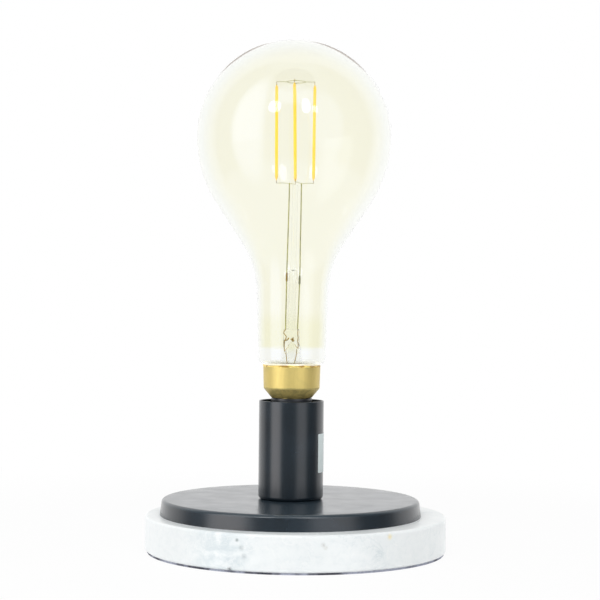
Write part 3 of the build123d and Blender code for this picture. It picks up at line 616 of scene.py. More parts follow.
def make_plain(name, first, second, smoothest, roughest, scale, relief, coat=0.0, glow=0.0):
    """A plain finish with grain in its colour, its gloss and its relief in millimetres."""
    material, board, shader, place = new_finish(name)
    grain = board.group("fine_grain", place, Scale=scale, Low=smoothest, High=roughest)
    tone = board.blend(board.group("soft_smudge", place, Scale=scale * 0.04)["Value"], first, second)
    board.feed(shader, {
        "Base Color": tone,
        "Emission Color": tone,
        "Emission Strength": glow,
        "Roughness": grain["Value"],
        "Coat Weight": coat,
        "Normal": board.bump(grain["Height"], 0.5, relief * MM),
    })
    return material


def make_metal(name, tone, dark, smoothest, roughest):
    """Drawn wire or turned metal with fine lines and a dull film."""
    material, board, shader, place = new_finish(name)
    streaks = board.group("drawn_streaks", place, Scale=1800.0)["Value"]
    film = board.group("soft_smudge", place, Scale=108.0)["Value"]
    board.feed(shader, {
        "Base Color": board.blend(board.fit(film, 0.5, 0.1), tone, dark),
        "Roughness": board.ramp(streaks, 0.0, 1.0, smoothest, roughest, smooth=False),
        "Metallic": 1.0,
        "Normal": board.bump(streaks, 0.25, 0.02 * MM),
    })
    return material


# Plain finishes: two colours, roughness from and to, scale of the grain, relief in millimetres, coat
PLAIN_FINISHES = {
    # A pale cement with a painted glow, put on the glass below the brass rim to stand in for light that
    # does not reach it
    "cement_foot_painted_glow": ((0.93, 0.93, 0.88), (0.84, 0.83, 0.74), 0.8, 0.92, 800.0, 0.25),
    "bush_plastic": ((0.012, 0.012, 0.013), (0.02, 0.02, 0.021), 0.35, 0.45, 1500.0, 0.02),
    "moulded_black": ((0.016, 0.018, 0.024), (0.026, 0.028, 0.035), 0.26, 0.38, 1600.0, 0.02, 0.15),
    "glazed_porcelain": ((0.80, 0.79, 0.74), (0.72, 0.70, 0.64), 0.08, 0.16, 500.0, 0.02, 0.4),
    "white_nylon": ((0.78, 0.78, 0.75), (0.70, 0.70, 0.66), 0.4, 0.5, 1200.0, 0.03),
    "brown_lead_plastic": ((0.15, 0.05, 0.025), (0.11, 0.035, 0.02), 0.45, 0.6, 1500.0, 0.03),
    "blue_lead_plastic": ((0.03, 0.12, 0.42), (0.02, 0.09, 0.34), 0.45, 0.6, 1500.0, 0.03),
    "black_cap_glass": ((0.014, 0.010, 0.022), (0.03, 0.022, 0.04), 0.06, 0.14, 900.0, 0.03, 0.5),
    "cap_cement": ((0.80, 0.76, 0.64), (0.68, 0.63, 0.50), 0.8, 0.92, 800.0, 0.25),
    "board_green": ((0.02, 0.16, 0.06), (0.015, 0.12, 0.05), 0.3, 0.42, 1500.0, 0.02, 0.3),
    "component_black": ((0.02, 0.02, 0.021), (0.035, 0.035, 0.036), 0.38, 0.5, 1800.0, 0.03),
}

# Metals: colour, colour of the dull film, roughness from and to
METAL_FINISHES = {
    "nickel_wire": ((0.66, 0.65, 0.25), (0.42, 0.40, 0.14), 0.45, 0.6),
    "gilt_wire": ((0.56, 0.38, 0.05), (0.34, 0.22, 0.05), 0.25, 0.42),
    "brown_weld": ((0.46, 0.31, 0.03), (0.26, 0.17, 0.02), 0.45, 0.6),
    "olive_weld": ((0.36, 0.36, 0.13), (0.2, 0.2, 0.07), 0.45, 0.6),
    "stick_pin": ((0.62, 0.5, 0.28), (0.35, 0.26, 0.12), 0.3, 0.45),
    "contact_brass": ((0.82, 0.66, 0.27), (0.55, 0.41, 0.14), 0.22, 0.38),
    "zinc_steel": ((0.60, 0.61, 0.62), (0.42, 0.42, 0.42), 0.28, 0.45),
    "thread_brass": ((0.84, 0.70, 0.30), (0.62, 0.48, 0.18), 0.24, 0.4),
    "solder": ((0.66, 0.66, 0.66), (0.48, 0.48, 0.49), 0.3, 0.5),
}


def make_listed(name, **more):
    """Make a finish of one of the two lists."""
    if name in METAL_FINISHES:
        return make_metal(name, *METAL_FINISHES[name])
    return make_plain(name, *PLAIN_FINISHES[name], **more)


# Tones inside the finishes
# A pale bluish haze painted on the top and shoulder of the plate: painted sheen
PLATE_PAINTED_SHEEN = (0.05, 0.072, 0.09)
PAINT_SPECK = (0.5, 0.52, 0.52)
PALE_THREAD = (0.93, 0.94, 0.93)
FOAM_DARK = (0.05, 0.05, 0.07)
# Pale bluish patches painted on the shaded pad: painted light
FOAM_PAINTED_LIGHT = (0.42, 0.44, 0.54)
FOAM_PIT = (0.02, 0.02, 0.03)
WORN_BRASS = (0.96, 0.82, 0.42)
# Painted shade and painted glints that dash along the crimped lip
LIP_PAINTED_SHADE = (0.50, 0.30, 0.06)
LIP_PAINTED_GLINT = (1.0, 0.80, 0.26)
RUBBED_COAT = (1.0, 0.82, 0.22)
PAPER_FIBRE = (0.6, 0.62, 0.62)


def make_paint(settings):
    """Black satin powder paint: dark ground, orange peel, dust specks, and a pale bluish sheen painted on
    its top and rounded shoulder.
    """
    material, board, shader, place = new_finish("satin_black_paint")
    grain = board.group("fine_grain", place, Scale=1400.0, Low=0.21, High=0.26)
    smudge = board.group("soft_smudge", place, Scale=26.0)["Value"]
    dust = board.group("dust_specks", place, Scale=95.0, Size=0.035, Share=0.10)["Mask"]
    height = board.parts(place)[2]
    # Painted sheen on the plate's top and its rounded shoulder
    painted_pale_light = board.times(board.ramp(height, plate_high.z - 3.4 * MM, plate_high.z - 0.6 * MM),
                        board.ramp(height, plate_high.z + 1.0 * MM, plate_high.z + 0.3 * MM))
    # The blue cast of the paint is partly a painted reflection of the cool studio in front
    ground = board.blend(smudge, settings.paint, dimmed(settings.paint, 1.5))
    ground = board.blend(board.times(painted_pale_light, settings.plate_painted_sheen), ground, PLATE_PAINTED_SHEEN)
    board.feed(shader, {
        "Base Color": board.blend(board.times(dust, 0.55), ground, PAINT_SPECK),
        "IOR": 1.53,
        "Roughness": board.fit(smudge, 0.012, grain["Value"]),
        "Normal": board.bump(grain["Height"], 0.35, 0.02 * MM),
    })
    return material


# The marble's cloudy patch with its reach, and its spots with reach, colour and strength, in millimetres
VEIN_PATCH = ((-56, -109.5, 17), 42)
MARBLE_SPOTS = (
    ((-43.9, -114.9, 25.0), 2.2, (0.20, 0.24, 0.25), 0.85),
    ((-40.6, -116.1, 19.5), 3.2, (0.42, 0.47, 0.48), 0.8),
    ((-38.5, -116.8, 13.0), 3.4, (0.45, 0.5, 0.52), 0.75),
    ((-49.4, -112.6, 2.4), 3.2, (0.12, 0.14, 0.15), 0.95),
    ((72.0, -99.7, 26.4), 3.4, (0.90, 0.76, 0.40), 0.8),
    ((21.0, -121.2, 22.8), 2.6, (0.46, 0.46, 0.43), 0.6),
    ((22.9, -120.85, 20.6), 2.6, (0.52, 0.52, 0.48), 0.5),
)


def make_marble(settings):
    """White honed marble with soft grey clouds, thin threads and a few mineral spots."""
    material, board, shader, place = new_finish("white_marble")

    def near(spot, reach):
        """1 at a spot given in millimetres, falling to 0 at its reach."""
        away = board.vector("DISTANCE", place, [side * MM for side in spot])["Value"]
        return board.ramp(away, reach * MM, 0.0)

    def thread(noise, middle, width):
        """1 along the lines where a noise passes its middle."""
        return board.ramp(board.apart(noise, middle), width, 0.0)

    cloud = board.ramp(board.noise(place, 22.0, 5.0, 0.6, 0.7), 0.48, 0.78)
    threads = thread(board.noise(place, 34.0, 6.0, 0.6, 1.2), 0.5, 0.02)
    mottle = board.ramp(board.noise(place, 190.0, 6.0, 0.65, 0.4), 0.42, 0.72)
    drift = board.ramp(board.noise(place, 62.0, 5.0, 0.62, 1.1), 0.34, 0.62)
    veins = board.times(cloud, 0.15)
    for mask, share in ((board.times(threads, cloud), 0.3), (mottle, 0.13),
                        (board.times(near(*VEIN_PATCH), drift), 0.6)):
        veins = board.maths("ADD", veins, board.times(mask, share))
    ground = board.blend(board.maths("MINIMUM", veins, 1.0), settings.marble, settings.vein)
    pale = thread(board.noise(place, 27.0, 5.0, 0.6, 1.6), 0.47, 0.012)
    ground = board.blend(board.times(pale, 0.4), ground, PALE_THREAD)
    wobble = board.ramp(board.noise(place, 900.0, 3.0), 0.3, 0.6, 0.45, 1.0)
    for spot, reach, tone, share in MARBLE_SPOTS:
        ground = board.blend(board.times(board.times(near(spot, reach), wobble), share), ground, tone)
    board.feed(shader, {
        "Base Color": ground,
        "Roughness": board.group("fine_grain", place, Scale=700.0, Low=0.28, High=0.40)["Value"],
        "Normal": board.bump(board.noise(place, 260.0, 5.0, 0.6), 0.2, 0.05 * MM),
    })
    return material


def make_pad():
    """Thin foam pad, dark, with pale patches painted along its rim as light on its shaded edge."""
    material, board, shader, place = new_finish("foam_pad")
    # Painted light: pale bluish patches that break up the dark rim of the pad, which sits in shade
    painted_pale_light = board.ramp(board.noise(board.stretched(place, (1.0, 1.0, 0.1)), 26.0, 4.0, 0.6), 0.42, 0.56)
    fine = board.ramp(board.noise(place, 500.0, 3.0), 0.3, 0.7)
    tone = board.blend(painted_pale_light, FOAM_DARK, FOAM_PAINTED_LIGHT)
    board.feed(shader, {
        "Base Color": board.blend(board.times(fine, 0.25), tone, FOAM_PIT),
        "Roughness": board.ramp(fine, 0.0, 1.0, 0.7, 0.9),
        "Normal": board.bump(fine, 0.4, 0.1 * MM),
    })
    return material


def make_brass(settings):
    """Drawn brass with faint vertical lines and soft tarnish smudges, painted shade on its cone and its
    pressed corner where they mirror the dark cup below, and painted glints and shade on its crimped lip.
    """
    material, board, shader, place = new_finish("drawn_brass")
    height = board.parts(place)[2]
    waist = skirt_low.z + settings.waist_rise
    ragged = board.fit(board.noise(place, 420.0, 4.0), 1.6 * MM, height)
    # Painted shade: a dark band at the pressed corner and over the downward cone, where the brass mirrors
    # the dark cup and plate
    corner_shade = board.ramp(board.apart(ragged, waist + 1.1 * MM), 0.8 * MM, 0.15 * MM)
    cone = board.ramp(ragged, waist + 0.9 * MM, waist + 0.4 * MM)
    cone_mottle = board.ramp(board.noise(place, 150.0, 5.0, 0.6, 1.0), 0.42, 0.62)
    streaks = board.group("drawn_streaks", place, Scale=1100.0)["Value"]
    smudge = board.group("soft_smudge", place, Scale=75.0)["Value"]
    worn = board.group("edge_wear", place, Scale=500.0)["Mask"]
    shade_and_tarnish = board.times(cone, board.fit(cone_mottle, 0.5, 0.45))
    shade_and_tarnish = board.most(shade_and_tarnish, board.times(corner_shade, 0.75))
    shade_and_tarnish = board.most(shade_and_tarnish, board.times(smudge, 0.16))
    clean = board.blend(board.times(streaks, 0.18), settings.brass, dimmed(settings.brass, 0.86))
    tone = board.blend(shade_and_tarnish, clean, settings.tarnish_and_shade)
    tone = board.blend(board.times(worn, 0.6), tone, WORN_BRASS)
    # Painted glints and shade: gold and brown patches on the crimped lip
    lip = board.ramp(height, skirt_high.z - 3.0 * MM, skirt_high.z - 2.3 * MM)
    patches = board.ramp(board.noise(place, 130.0, 3.0), 0.42, 0.56)
    patchy = board.blend(patches, LIP_PAINTED_SHADE, LIP_PAINTED_GLINT)
    ripple = board.maths("ADD", board.noise(place, 95.0, 2.0), board.times(streaks, 0.25))
    board.feed(shader, {
        "Base Color": board.blend(lip, tone, patchy),
        "Roughness": board.fit(streaks, 0.07, board.fit(shade_and_tarnish, 0.10, 0.44)),
        "Metallic": board.fit(cone, -0.2, 0.62),
        "Normal": board.bump(ripple, 0.35, 0.12 * MM),
    })
    return material


def make_glass(name, tint, slant_tint, bend, coat=None):
    """Glass that takes another colour at a slant; on the bulb that colour is a painted pale bluish sheen
    at the rim. The settings of a coat let it pool low down and end there.
    """
    material, board, shader, place = new_finish(name)
    height = board.parts(place)[2]
    # Colour at a slant; on the bulb this is a painted sheen
    slant = board.ramp(board.add("ShaderNodeLayerWeight", {"Blend": 0.35}).outputs["Facing"], 0.26, 0.6)
    if coat:
        end = skirt_high.z + coat.coat_rise
        low = board.ramp(height, end + coat.pool_start, end + coat.pool_full)
        tint = board.blend(low, tint, coat.pool_tint)
    tone = board.blend(slant, tint, slant_tint)
    if coat:
        wander = board.fit(board.noise(place, 60.0, 2.0), 2 * MM, height)
        tone = board.blend(board.ramp(wander, end, end + coat.coat_fade), coat.clear_tint, tone)
        board.feed(shader, {"Specular Tint": coat.sheen})
    board.feed(shader, {
        "Base Color": tone,
        "Roughness": 0.0,
        "Metallic": 0.0,
        "Transmission Weight": 1.0,
        "IOR": bend,
        "Normal": board.bump(board.noise(place, 14.0, 2.0), 0.12, 0.6 * MM),
    })
    return material


def make_phosphor(settings, low, high):
    """The yellow coat of a stick: orange ends, faint darker places where its chips sit."""
    material, board, shader, place = new_finish("phosphor_coat")
    height = board.parts(place)[2]
    chips = board.maths("PINGPONG", board.maths("SUBTRACT", height, low), settings.chip_pitch / 2)
    chips = board.ramp(chips, 0.35 * MM, 0.95 * MM)
    point = settings.stick_point
    middle = board.times(board.ramp(height, low + point * 0.5, low + point * 2.2),
                         board.ramp(height, high - point * 0.5, high - point * 2.2))
    red, green, blue = settings.coat
    body = board.blend(board.times(chips, 0.25), settings.coat, (red, green * 0.93, blue))
    patchy = board.ramp(board.noise(place, 700.0, 3.0), 0.35, 0.7)
    body = board.blend(board.times(patchy, 0.2), body, RUBBED_COAT)
    tone = board.blend(middle, settings.coat_end, body)
    board.feed(shader, {
        "Base Color": tone,
        "Emission Color": tone,
        "Emission Strength": settings.coat_glow,
        "Roughness": board.group("fine_grain", place, Scale=2500.0, Low=0.42, High=0.6)["Value"],
        "Normal": board.bump(board.noise(place, 900.0, 3.0), 0.4, 0.05 * MM),
    })
    return material


def make_paper(settings):
    """Coated label paper with faint fibres and a bare printed side."""
    material, board, shader, place = new_finish("label_paper")
    fibre = board.noise(board.stretched(place, (1.0, 1.0, 0.3)), 2600.0, 4.0, 0.7)
    yellowed = board.group("soft_smudge", place, Scale=60.0)["Value"]
    tone = board.blend(board.times(yellowed, 0.2), settings.paper, dimmed(settings.paper, 0.93))
    board.feed(shader, {
        "Base Color": board.blend(board.ramp(fibre, 0.4, 0.75, 0.0, 0.1), tone, PAPER_FIBRE),
        "Roughness": board.ramp(fibre, 0.3, 0.7, 0.5, 0.62),
        "Normal": board.bump(fibre, 0.3, 0.02 * MM),
    })
    return material


def make_floor(settings):
    """A plain white floor: as bright as the background, but with the lamp's shadow close by."""
    material, board = new_material("studio_floor")
    path = board.add("ShaderNodeLightPath").outputs
    seen = board.most(path["Is Glossy Ray"], path["Is Transmission Ray"])
    seen = board.most(seen, path["Is Camera Ray"])
    away = board.vector("LENGTH", board.place())["Value"]
    share = board.ramp(away, settings.floor_near, settings.floor_far, 1.0 - settings.shadow_share, 1.0)
    lit = board.add("ShaderNodeBsdfDiffuse", {"Color": settings.floor_colour}).outputs[0]
    plain = board.add("ShaderNodeEmission", {"Color": WHITE, "Strength": 1.0}).outputs[0]
    both = board.add("ShaderNodeMixShader", {0: board.times(seen, share), 1: lit, 2: plain})
    board.add("ShaderNodeOutputMaterial", {"Surface": both.outputs[0]})
    return material


# Stage

# How much of the small bright panels and of the broad ones is left for rays that come out of glass
SPOT_SHARE = 0.4
PANEL_SHARE = 0.6

# Brightness from which a panel counts as a small bright one, and as a broad one
SPOT_LEVEL = 5
PANEL_LEVEL = 1

# Power of the distance that gives a panel its squarish outline
PANEL_SHAPE = 2.4

# Panels that gloss sees: azimuth, elevation, half width, half height, soft edge, brightness, colour
STUDIO_PANELS = (
    (-56, 10, 20, 46, 0.75, 3.2, (1.0, 0.97, 0.97)),
    (38, 14, 21, 32, 0.7, 1.8, (0.97, 0.98, 1.0)),
    (38, -34, 19, 20, 0.8, 1.6, (1.0, 0.98, 0.96)),
    (-2, 45, 30, 11, 0.8, 2.2, (1.0, 1.0, 1.0)),
    (-24.5, 30, 7.5, 6.5, 0.5, 11.0, (1.0, 1.0, 1.0)),
    (15, 31.5, 5.2, 8.5, 0.5, 11.0, (1.0, 1.0, 1.0)),
    (26, 27.5, 3.6, 4, 0.5, 10.0, (1.0, 1.0, 1.0)),
    (-168, 23, 6, 5, 0.7, 0.6, (1.0, 0.90, 0.86)),
    (169, 24, 7, 5, 0.7, 0.6, (1.0, 0.90, 0.86)),
)


# Directions in degrees between which the studio changes: right of the front, to either side, up and down
FRONT_TO_RIGHT = (35, 80)
SIDE_TO_REAR = (90, 115)
TINT_TO_WHITE = (70, 100)
UP_TO_TOP = (55, 80)
DOWN_TO_TABLE = (-14, -30)


def make_world(settings):
    """A white studio. Gloss and glass see its front dimmer, with soft-edged panels of light in it."""
    world = bpy.data.worlds.new("studio")
    bpy.context.scene.world = world
    world.use_nodes = True
    world.node_tree.nodes.clear()
    board = Board(world.node_tree)

    def sweep(direction, limits, start=0.0, end=1.0):
        """A ramp between two directions in degrees."""
        return board.ramp(direction, *map(math.radians, limits), start, end)

    def off(direction, middle, half):
        """How far a direction is from a panel's middle, in half widths."""
        share = board.maths("DIVIDE", board.apart(direction, math.radians(middle)), math.radians(half))
        return board.maths("POWER", share, PANEL_SHAPE)

    def mixed(share, first, second):
        """A value part of the way from one to another."""
        return board.fit(share, board.maths("SUBTRACT", second, first), first)

    path = board.add("ShaderNodeLightPath").outputs
    through = path["Is Transmission Ray"]
    toward = board.parts(board.add("ShaderNodeTexCoord").outputs["Generated"])
    turn = board.maths("ARCTAN2", toward[0], board.times(toward[1], -1.0))
    aside = board.maths("ABSOLUTE", turn)
    rise = board.maths("ARCSINE", toward[2])
    rear = board.fit(through, 1.0 - settings.rear_level, settings.rear_level)
    level = sweep(turn, FRONT_TO_RIGHT, settings.front_level, settings.side_level)
    for least in (board.times(rear, sweep(aside, SIDE_TO_REAR)),
                  sweep(rise, UP_TO_TOP, 0.0, settings.top_level),
                  sweep(rise, DOWN_TO_TABLE, 0.0, settings.low_level),
                  board.times(through, settings.through_level)):
        level = board.most(level, least)
    plain = board.most(through, sweep(aside, TINT_TO_WHITE))
    tone = board.blend(plain, settings.front_colour, WHITE)
    for azimuth, elevation, wide, high, edge, strength, warm in STUDIO_PANELS:
        far = board.maths("ADD", off(turn, azimuth, wide), off(rise, elevation, high))
        mask = board.ramp(far, 1.0 + edge, 1.0 - edge)
        share = SPOT_SHARE if strength > SPOT_LEVEL else PANEL_SHARE if strength > PANEL_LEVEL else 1.0
        shine = board.fit(through, strength * (share - 1.0), strength)
        level = mixed(mask, level, shine)
        tone = board.blend(mask, tone, warm)
    clear = board.most(path["Is Glossy Ray"], through)
    level = board.most(path["Is Camera Ray"], mixed(clear, settings.ambient, level))
    tone = board.blend(clear, WHITE, tone)
    shade = board.add("ShaderNodeBackground", {"Color": tone, "Strength": level})
    board.add("ShaderNodeOutputWorld", {"Surface": shade.outputs[0]})


# Lamps: azimuth and elevation in degrees, distance, width and height
STUDIO_LAMPS = {
    "left_softbox": (-63, 4, 1.2, 1.1, 0.95),
    "right_fill": (33, 4, 1.3, 0.45, 0.9),
    "high_left": (-16, 40, 1.2, 0.52, 0.22),
    "high_right": (12, 40, 1.2, 0.24, 0.34),
}

# Where the lamps point
LAMP_AIM = Vector((AXIS_X, 0, BELLY_Z - 60 * MM))


def softbox(name, azimuth, elevation, distance, width, height, watts):
    """A rectangular lamp that faces the bulb. Azimuth 0 is in front and grows to the right."""
    turn, rise = math.radians(azimuth), math.radians(elevation)
    back = Vector((math.sin(turn) * math.cos(rise), -math.cos(turn) * math.cos(rise), math.sin(rise)))
    start_piece()
    bpy.ops.object.light_add(type="AREA", location=LAMP_AIM + back * distance)
    lamp = bpy.context.object
    lamp.name = name
    lamp.rotation_euler = back.to_track_quat("Z", "Y").to_euler()
    lamp.data.shape = "RECTANGLE"
    lamp.data.size = width
    lamp.data.size_y = height
    lamp.data.energy = watts
    lamp.visible_glossy = False
    lamp.visible_transmission = False


class LAMP_OT_stage(bpy.types.Operator):
    """Set up the floor, the studio, its lamps and the camera"""

    bl_idname = "lamp.stage"
    bl_label = "Stage"

    def execute(self, context):
        settings = context.scene.lamp_stage
        make_world(settings)
        start_piece()
        bpy.ops.mesh.primitive_plane_add(size=settings.floor_size, location=(0, 0, 0))
        floor = bpy.context.object
        floor.name = "floor"
        floor.data.materials.append(make_floor(settings))
        floor.visible_glossy = False
        powers = (settings.left_power, settings.right_power, settings.high_power,
                  settings.high_power * settings.high_share)
        for name, watts in zip(STUDIO_LAMPS, powers):
            softbox(name, *STUDIO_LAMPS[name], watts)
        start_piece()
        stand = (shift_x(settings.camera_side), -settings.camera_distance, settings.camera_height)
        level = math.radians(90)
        bpy.ops.object.camera_add(location=stand, rotation=(level, settings.camera_turn, 0))
        camera = bpy.context.object
        camera.name = "camera"
        camera.data.lens = settings.camera_lens
        camera.data.sensor_width = settings.sensor_width
        camera.data.clip_start = 10 * MM
        context.scene.camera = camera
        context.scene.view_settings.view_transform = "Standard"
        return {"FINISHED"}


# Bulb glass

def glass_wall(settings, inset):
    """Points down one side of the glass wall, from the crown to the foot of the tube."""
    flank, taper = settings.flank, settings.taper
    crown = BULB_RADIUS - inset
    belly = settings.belly_arc - inset
    throat = settings.throat_arc + inset
    heel_reach = settings.neck_foot - settings.tube
    heel = heel_reach - inset
    heel_z = skirt_high.z - settings.heel_drop + settings.seat_gap + heel_reach
    belly_x = BULB_RADIUS - settings.belly_arc
    flank_x = belly_x + belly * math.cos(flank)
    flank_z = BELLY_Z - belly * math.sin(flank)
    foot_x = settings.tube + heel * math.cos(taper)
    foot_z = heel_z - heel * math.sin(taper)
    slope, lean = math.tan(flank), math.tan(taper)
    corner_z = (foot_x - foot_z * lean - flank_x + flank_z * slope) / (slope - lean)
    corner_x = flank_x - (flank_z - corner_z) * slope
    reach = throat * math.tan((flank - taper) / 2)
    throat_top = (corner_x + reach * math.sin(flank), corner_z + reach * math.cos(flank))
    throat_middle = (throat_top[0] + throat * math.cos(flank), throat_top[1] - throat * math.sin(flank))
    points = arc_points((0, BELLY_Z), crown, math.pi / 2, 0, steps=56)
    points += arc_points((belly_x, BELLY_Z), belly, 0, -flank, steps=26)[1:]
    points += [between(points[-1], throat_top, share) for share in QUARTERS]
    points += arc_points(throat_middle, throat, math.pi - flank, math.pi - taper, steps=26)
    points += [between(points[-1], (foot_x, foot_z), share) for share in QUARTERS]
    points += arc_points((settings.tube, heel_z), heel, -taper, -math.pi / 2, steps=10)
    if inset:
        points.append((settings.tube - inset, heel_z - heel))
    points += [(settings.tube - inset, glass_low.z)]
    return points


class LAMP_OT_bulb_glass(bpy.types.Operator):
    """Blow the pear-shaped bulb with its two wall faces"""

    bl_idname = "lamp.bulb_glass"
    bl_label = "Bulb glass"

    def execute(self, context):
        settings = context.scene.lamp_glass
        outline = glass_wall(settings, 0.0) + glass_wall(settings, settings.wall)[::-1]
        piece = lathe("bulb_glass", outline, settings.steps)
        amber = make_glass("amber_glass", settings.tint, settings.slant_tint, settings.bend, settings)
        # Painted light: the glass below the brass rim wears a pale, glowing cement
        cement = make_listed("cement_foot_painted_glow", glow=settings.foot_glow)
        wear(piece, amber, cement)
        foot = skirt_high.z - settings.foot_drop
        for face in piece.data.polygons:
            face.material_index = 1 if face.center.z < foot else 0
        hand_in(piece, "bulb", "glass_bulb")
        return {"FINISHED"}


# Glass mount

# Gap between the pinch and the exhaust tube below it
PINCH_GAP = 0.1 * MM

# The seal's flare inside, from the pinch down: radius in bores and height above the pinch in walls
SEAL_BORE = ((0.08, 3.0), (0.45, -0.4), (0.8, -4.2), (1.0, -7.0))

# The squeezed part of the seal: shares of its height, of its half width and of its half depth
SEAL_PINCH = ((0.02, 1.03, 2.3), (0.14, 1.0, 1.85), (0.26, 0.98, 1.45), (0.4, 0.97, 1.15),
              (0.6, 1.0, 0.98), (0.8, 1.0, 1.0), (0.9, 0.99, 0.97), (0.955, 0.96, 0.86),
              (0.99, 0.9, 0.62), (1.0, 0.8, 0.4))

# The exhaust tube from its sealed tip up, and the rod from its foot up: shares of length and of radius
EXHAUST_TUBE = ((0.0, 0.08), (0.02, 0.3), (0.06, 0.5), (0.13, 0.66), (0.24, 0.84), (0.38, 1.0),
                (0.7, 0.98), (1.0, 1.0))
STEM_ROD = ((0.0, 0.99), (0.2, 0.96), (0.5, 1.0), (0.8, 0.97), (0.975, 1.0), (0.99, 0.9),
            (0.998, 0.62), (1.0, 0.3))

# The stem's tube, down its bore and up its outside: share of length, walls above it, share of radius
STEM_BORE = ((1.0, -1.0, 0.3), (1.0, -1.2, 0.92), (1.0, -2.0, 1.0), (0.5, 0.0, 1.0), (0.0, 0.0, 1.0))
STEM_TUBE = ((0.0, 0.0, 1.0), (0.4, 0.0, 0.985), (0.8, 0.0, 1.0), (1.0, -2.0, 1.0),
             (1.0, -1.0, 0.97), (1.0, -0.4, 0.88), (1.0, -0.1, 0.74), (1.0, 0.0, 0.66))


def on_mount(settings, along, across=0.0):
    """A place on the leaning mount: along from the top of the seal, and across."""
    x = settings.shift + across * math.cos(settings.lean) + along * math.sin(settings.lean)
    z = flare_high.z + along * math.cos(settings.lean) - across * math.sin(settings.lean)
    return (shift_x(x), 0, z)


class LAMP_OT_glass_mount(bpy.types.Operator):
    """Form the flared tube with its flattened seal, the exhaust tube and the two stems"""

    bl_idname = "lamp.glass_mount"
    bl_label = "Glass mount"

    def execute(self, context):
        settings = context.scene.lamp_mount
        clear = make_glass("clear_glass", settings.tint, settings.slant_tint, settings.bend)
        pieces = {"stem_flare": self.seal(settings), "exhaust_tip": self.exhaust(settings),
                  "stem_tube": self.tube(settings), "stem_rod": self.rod(settings)}
        for node, piece in pieces.items():
            wear(piece, clear)
            hand_in(piece, "bulb", node)
        return {"FINISHED"}

    def seal(self, settings):
        """The flare, its neck and the flattened seal at its top."""
        rim = (flare_high.x - flare_low.x) / 2
        neck, wall = settings.flare_neck, settings.flare_wall
        bore, bend = neck - wall, rim - neck
        bend_middle = (rim, flare_low.z + wall + bend)
        pinch_z = flare_high.z - settings.pinch_height
        outline = [(bore * share, pinch_z + rise * wall) for share, rise in SEAL_BORE]
        outline += arc_points(bend_middle, bend + wall, math.pi, 1.5 * math.pi, steps=12)
        outline += arc_points(bend_middle, bend, 1.5 * math.pi, math.pi, steps=12)
        outline.append((neck, pinch_z - 2.5 * wall))
        rings = [((AXIS_X, 0, height), radius, radius) for radius, height in outline]
        half_width, half_depth = settings.pinch_width / 2, settings.pinch_depth / 2
        for rise, width_share, depth_share in SEAL_PINCH:
            middle = (shift_x(settings.shift), 0, pinch_z + rise * settings.pinch_height)
            rings.append((middle, half_width * width_share, half_depth * depth_share))
        return loft("glass_seal", rings, sides=64)

    def exhaust(self, settings):
        """The short exhaust tube, drawn to a sealed tip."""
        foot = flare_high.z - settings.pinch_height - PINCH_GAP - settings.exhaust_length
        stations = [((shift_x(settings.shift), 0, foot + rise * settings.exhaust_length),
                     settings.exhaust_radius * share) for rise, share in EXHAUST_TUBE]
        return round_loft("exhaust_tube", stations, sides=40)

    def tube(self, settings):
        """The lower tube with its rounded joint."""
        top, wall, radius = settings.tube_length, settings.tube_wall, settings.tube_radius
        walls = [(shares, radius - wall) for shares in STEM_BORE]
        walls += [(shares, radius) for shares in STEM_TUBE]
        stations = [(on_mount(settings, along * top + rise * wall), half * share)
                    for (along, rise, share), half in walls]
        return round_loft("stem_lower", stations, sides=48)

    def rod(self, settings):
        """The thinner rod above the joint."""
        foot = settings.tube_length + 0.02 * MM
        stations = [(on_mount(settings, foot + rise * settings.rod_length), settings.rod_radius * share)
                    for rise, share in STEM_ROD]
        return round_loft("stem_upper", stations, sides=40)


# Wires

# How far each long wire bows sideways in millimetres, at shares of its length above the seal
LEFT_BOW = ((0.0, 0.1), (0.06, -0.05), (0.25, -0.1), (0.42, -0.22), (0.55, -0.12), (0.8, 0.0),
            (1.0, 0.0))
RIGHT_BOW = ((0.0, 0.1), (0.07, 0.28), (0.22, 0.6), (0.42, 0.75), (0.52, 0.55), (0.78, 0.3),
             (1.0, 0.0))

# A welded sleeve: shares of its length and of its radius
SLEEVE = ((0.0, 0.55), (0.06, 0.8), (0.2, 1.0), (0.45, 0.9), (0.7, 1.0), (0.92, 0.85), (1.0, 0.55))

# The thin wires in and below the seal: sideways, depth and height above the seal's foot, in millimetres
LEFT_SEAL_WIRE = ((-5.1, 0.0, 13.6), (-5.3, 0.1, 12.4), (-6.4, 0.3, 11.2), (-6.6, 0.3, 9.6),
                  (-5.6, 0.0, 8.2), (-4.8, -0.3, 6.8), (-5.0, -0.4, 5.2), (-5.8, -0.2, 3.6),
                  (-5.9, 0.0, 1.6), (-5.6, 0.0, -1.2), (-5.1, 0.0, -5.5), (-4.5, 0.0, -10.5),
                  (-4.0, 0.0, -16.0))
RIGHT_SEAL_WIRE = ((4.55, 0.0, 13.6), (4.6, 0.0, 12.0), (4.5, 0.2, 9.0), (4.7, 0.2, 6.0),
                   (4.4, 0.0, 3.0), (4.5, 0.0, 0.8), (4.1, 0.0, -3.0), (3.5, 0.0, -8.5),
                   (2.7, 0.0, -13.0), (2.2, 0.0, -16.0))
GILT_HOOK = ((-6.4, 0.5, 2.0), (-5.6, 0.6, 3.4), (-4.6, 0.7, 3.6), (-3.6, 0.6, 4.2),
             (-2.9, 0.5, 5.2), (-2.5, 0.4, 5.6))
GILT_KNOT = ((-1.0, 0.2, 3.9), (-0.2, 0.3, 4.8), (0.7, 0.4, 4.3), (1.2, 0.3, 3.2), (0.5, 0.2, 2.9),
             (-0.1, 0.1, 3.9), (0.6, 0.0, 5.4), (1.3, 0.0, 5.9))

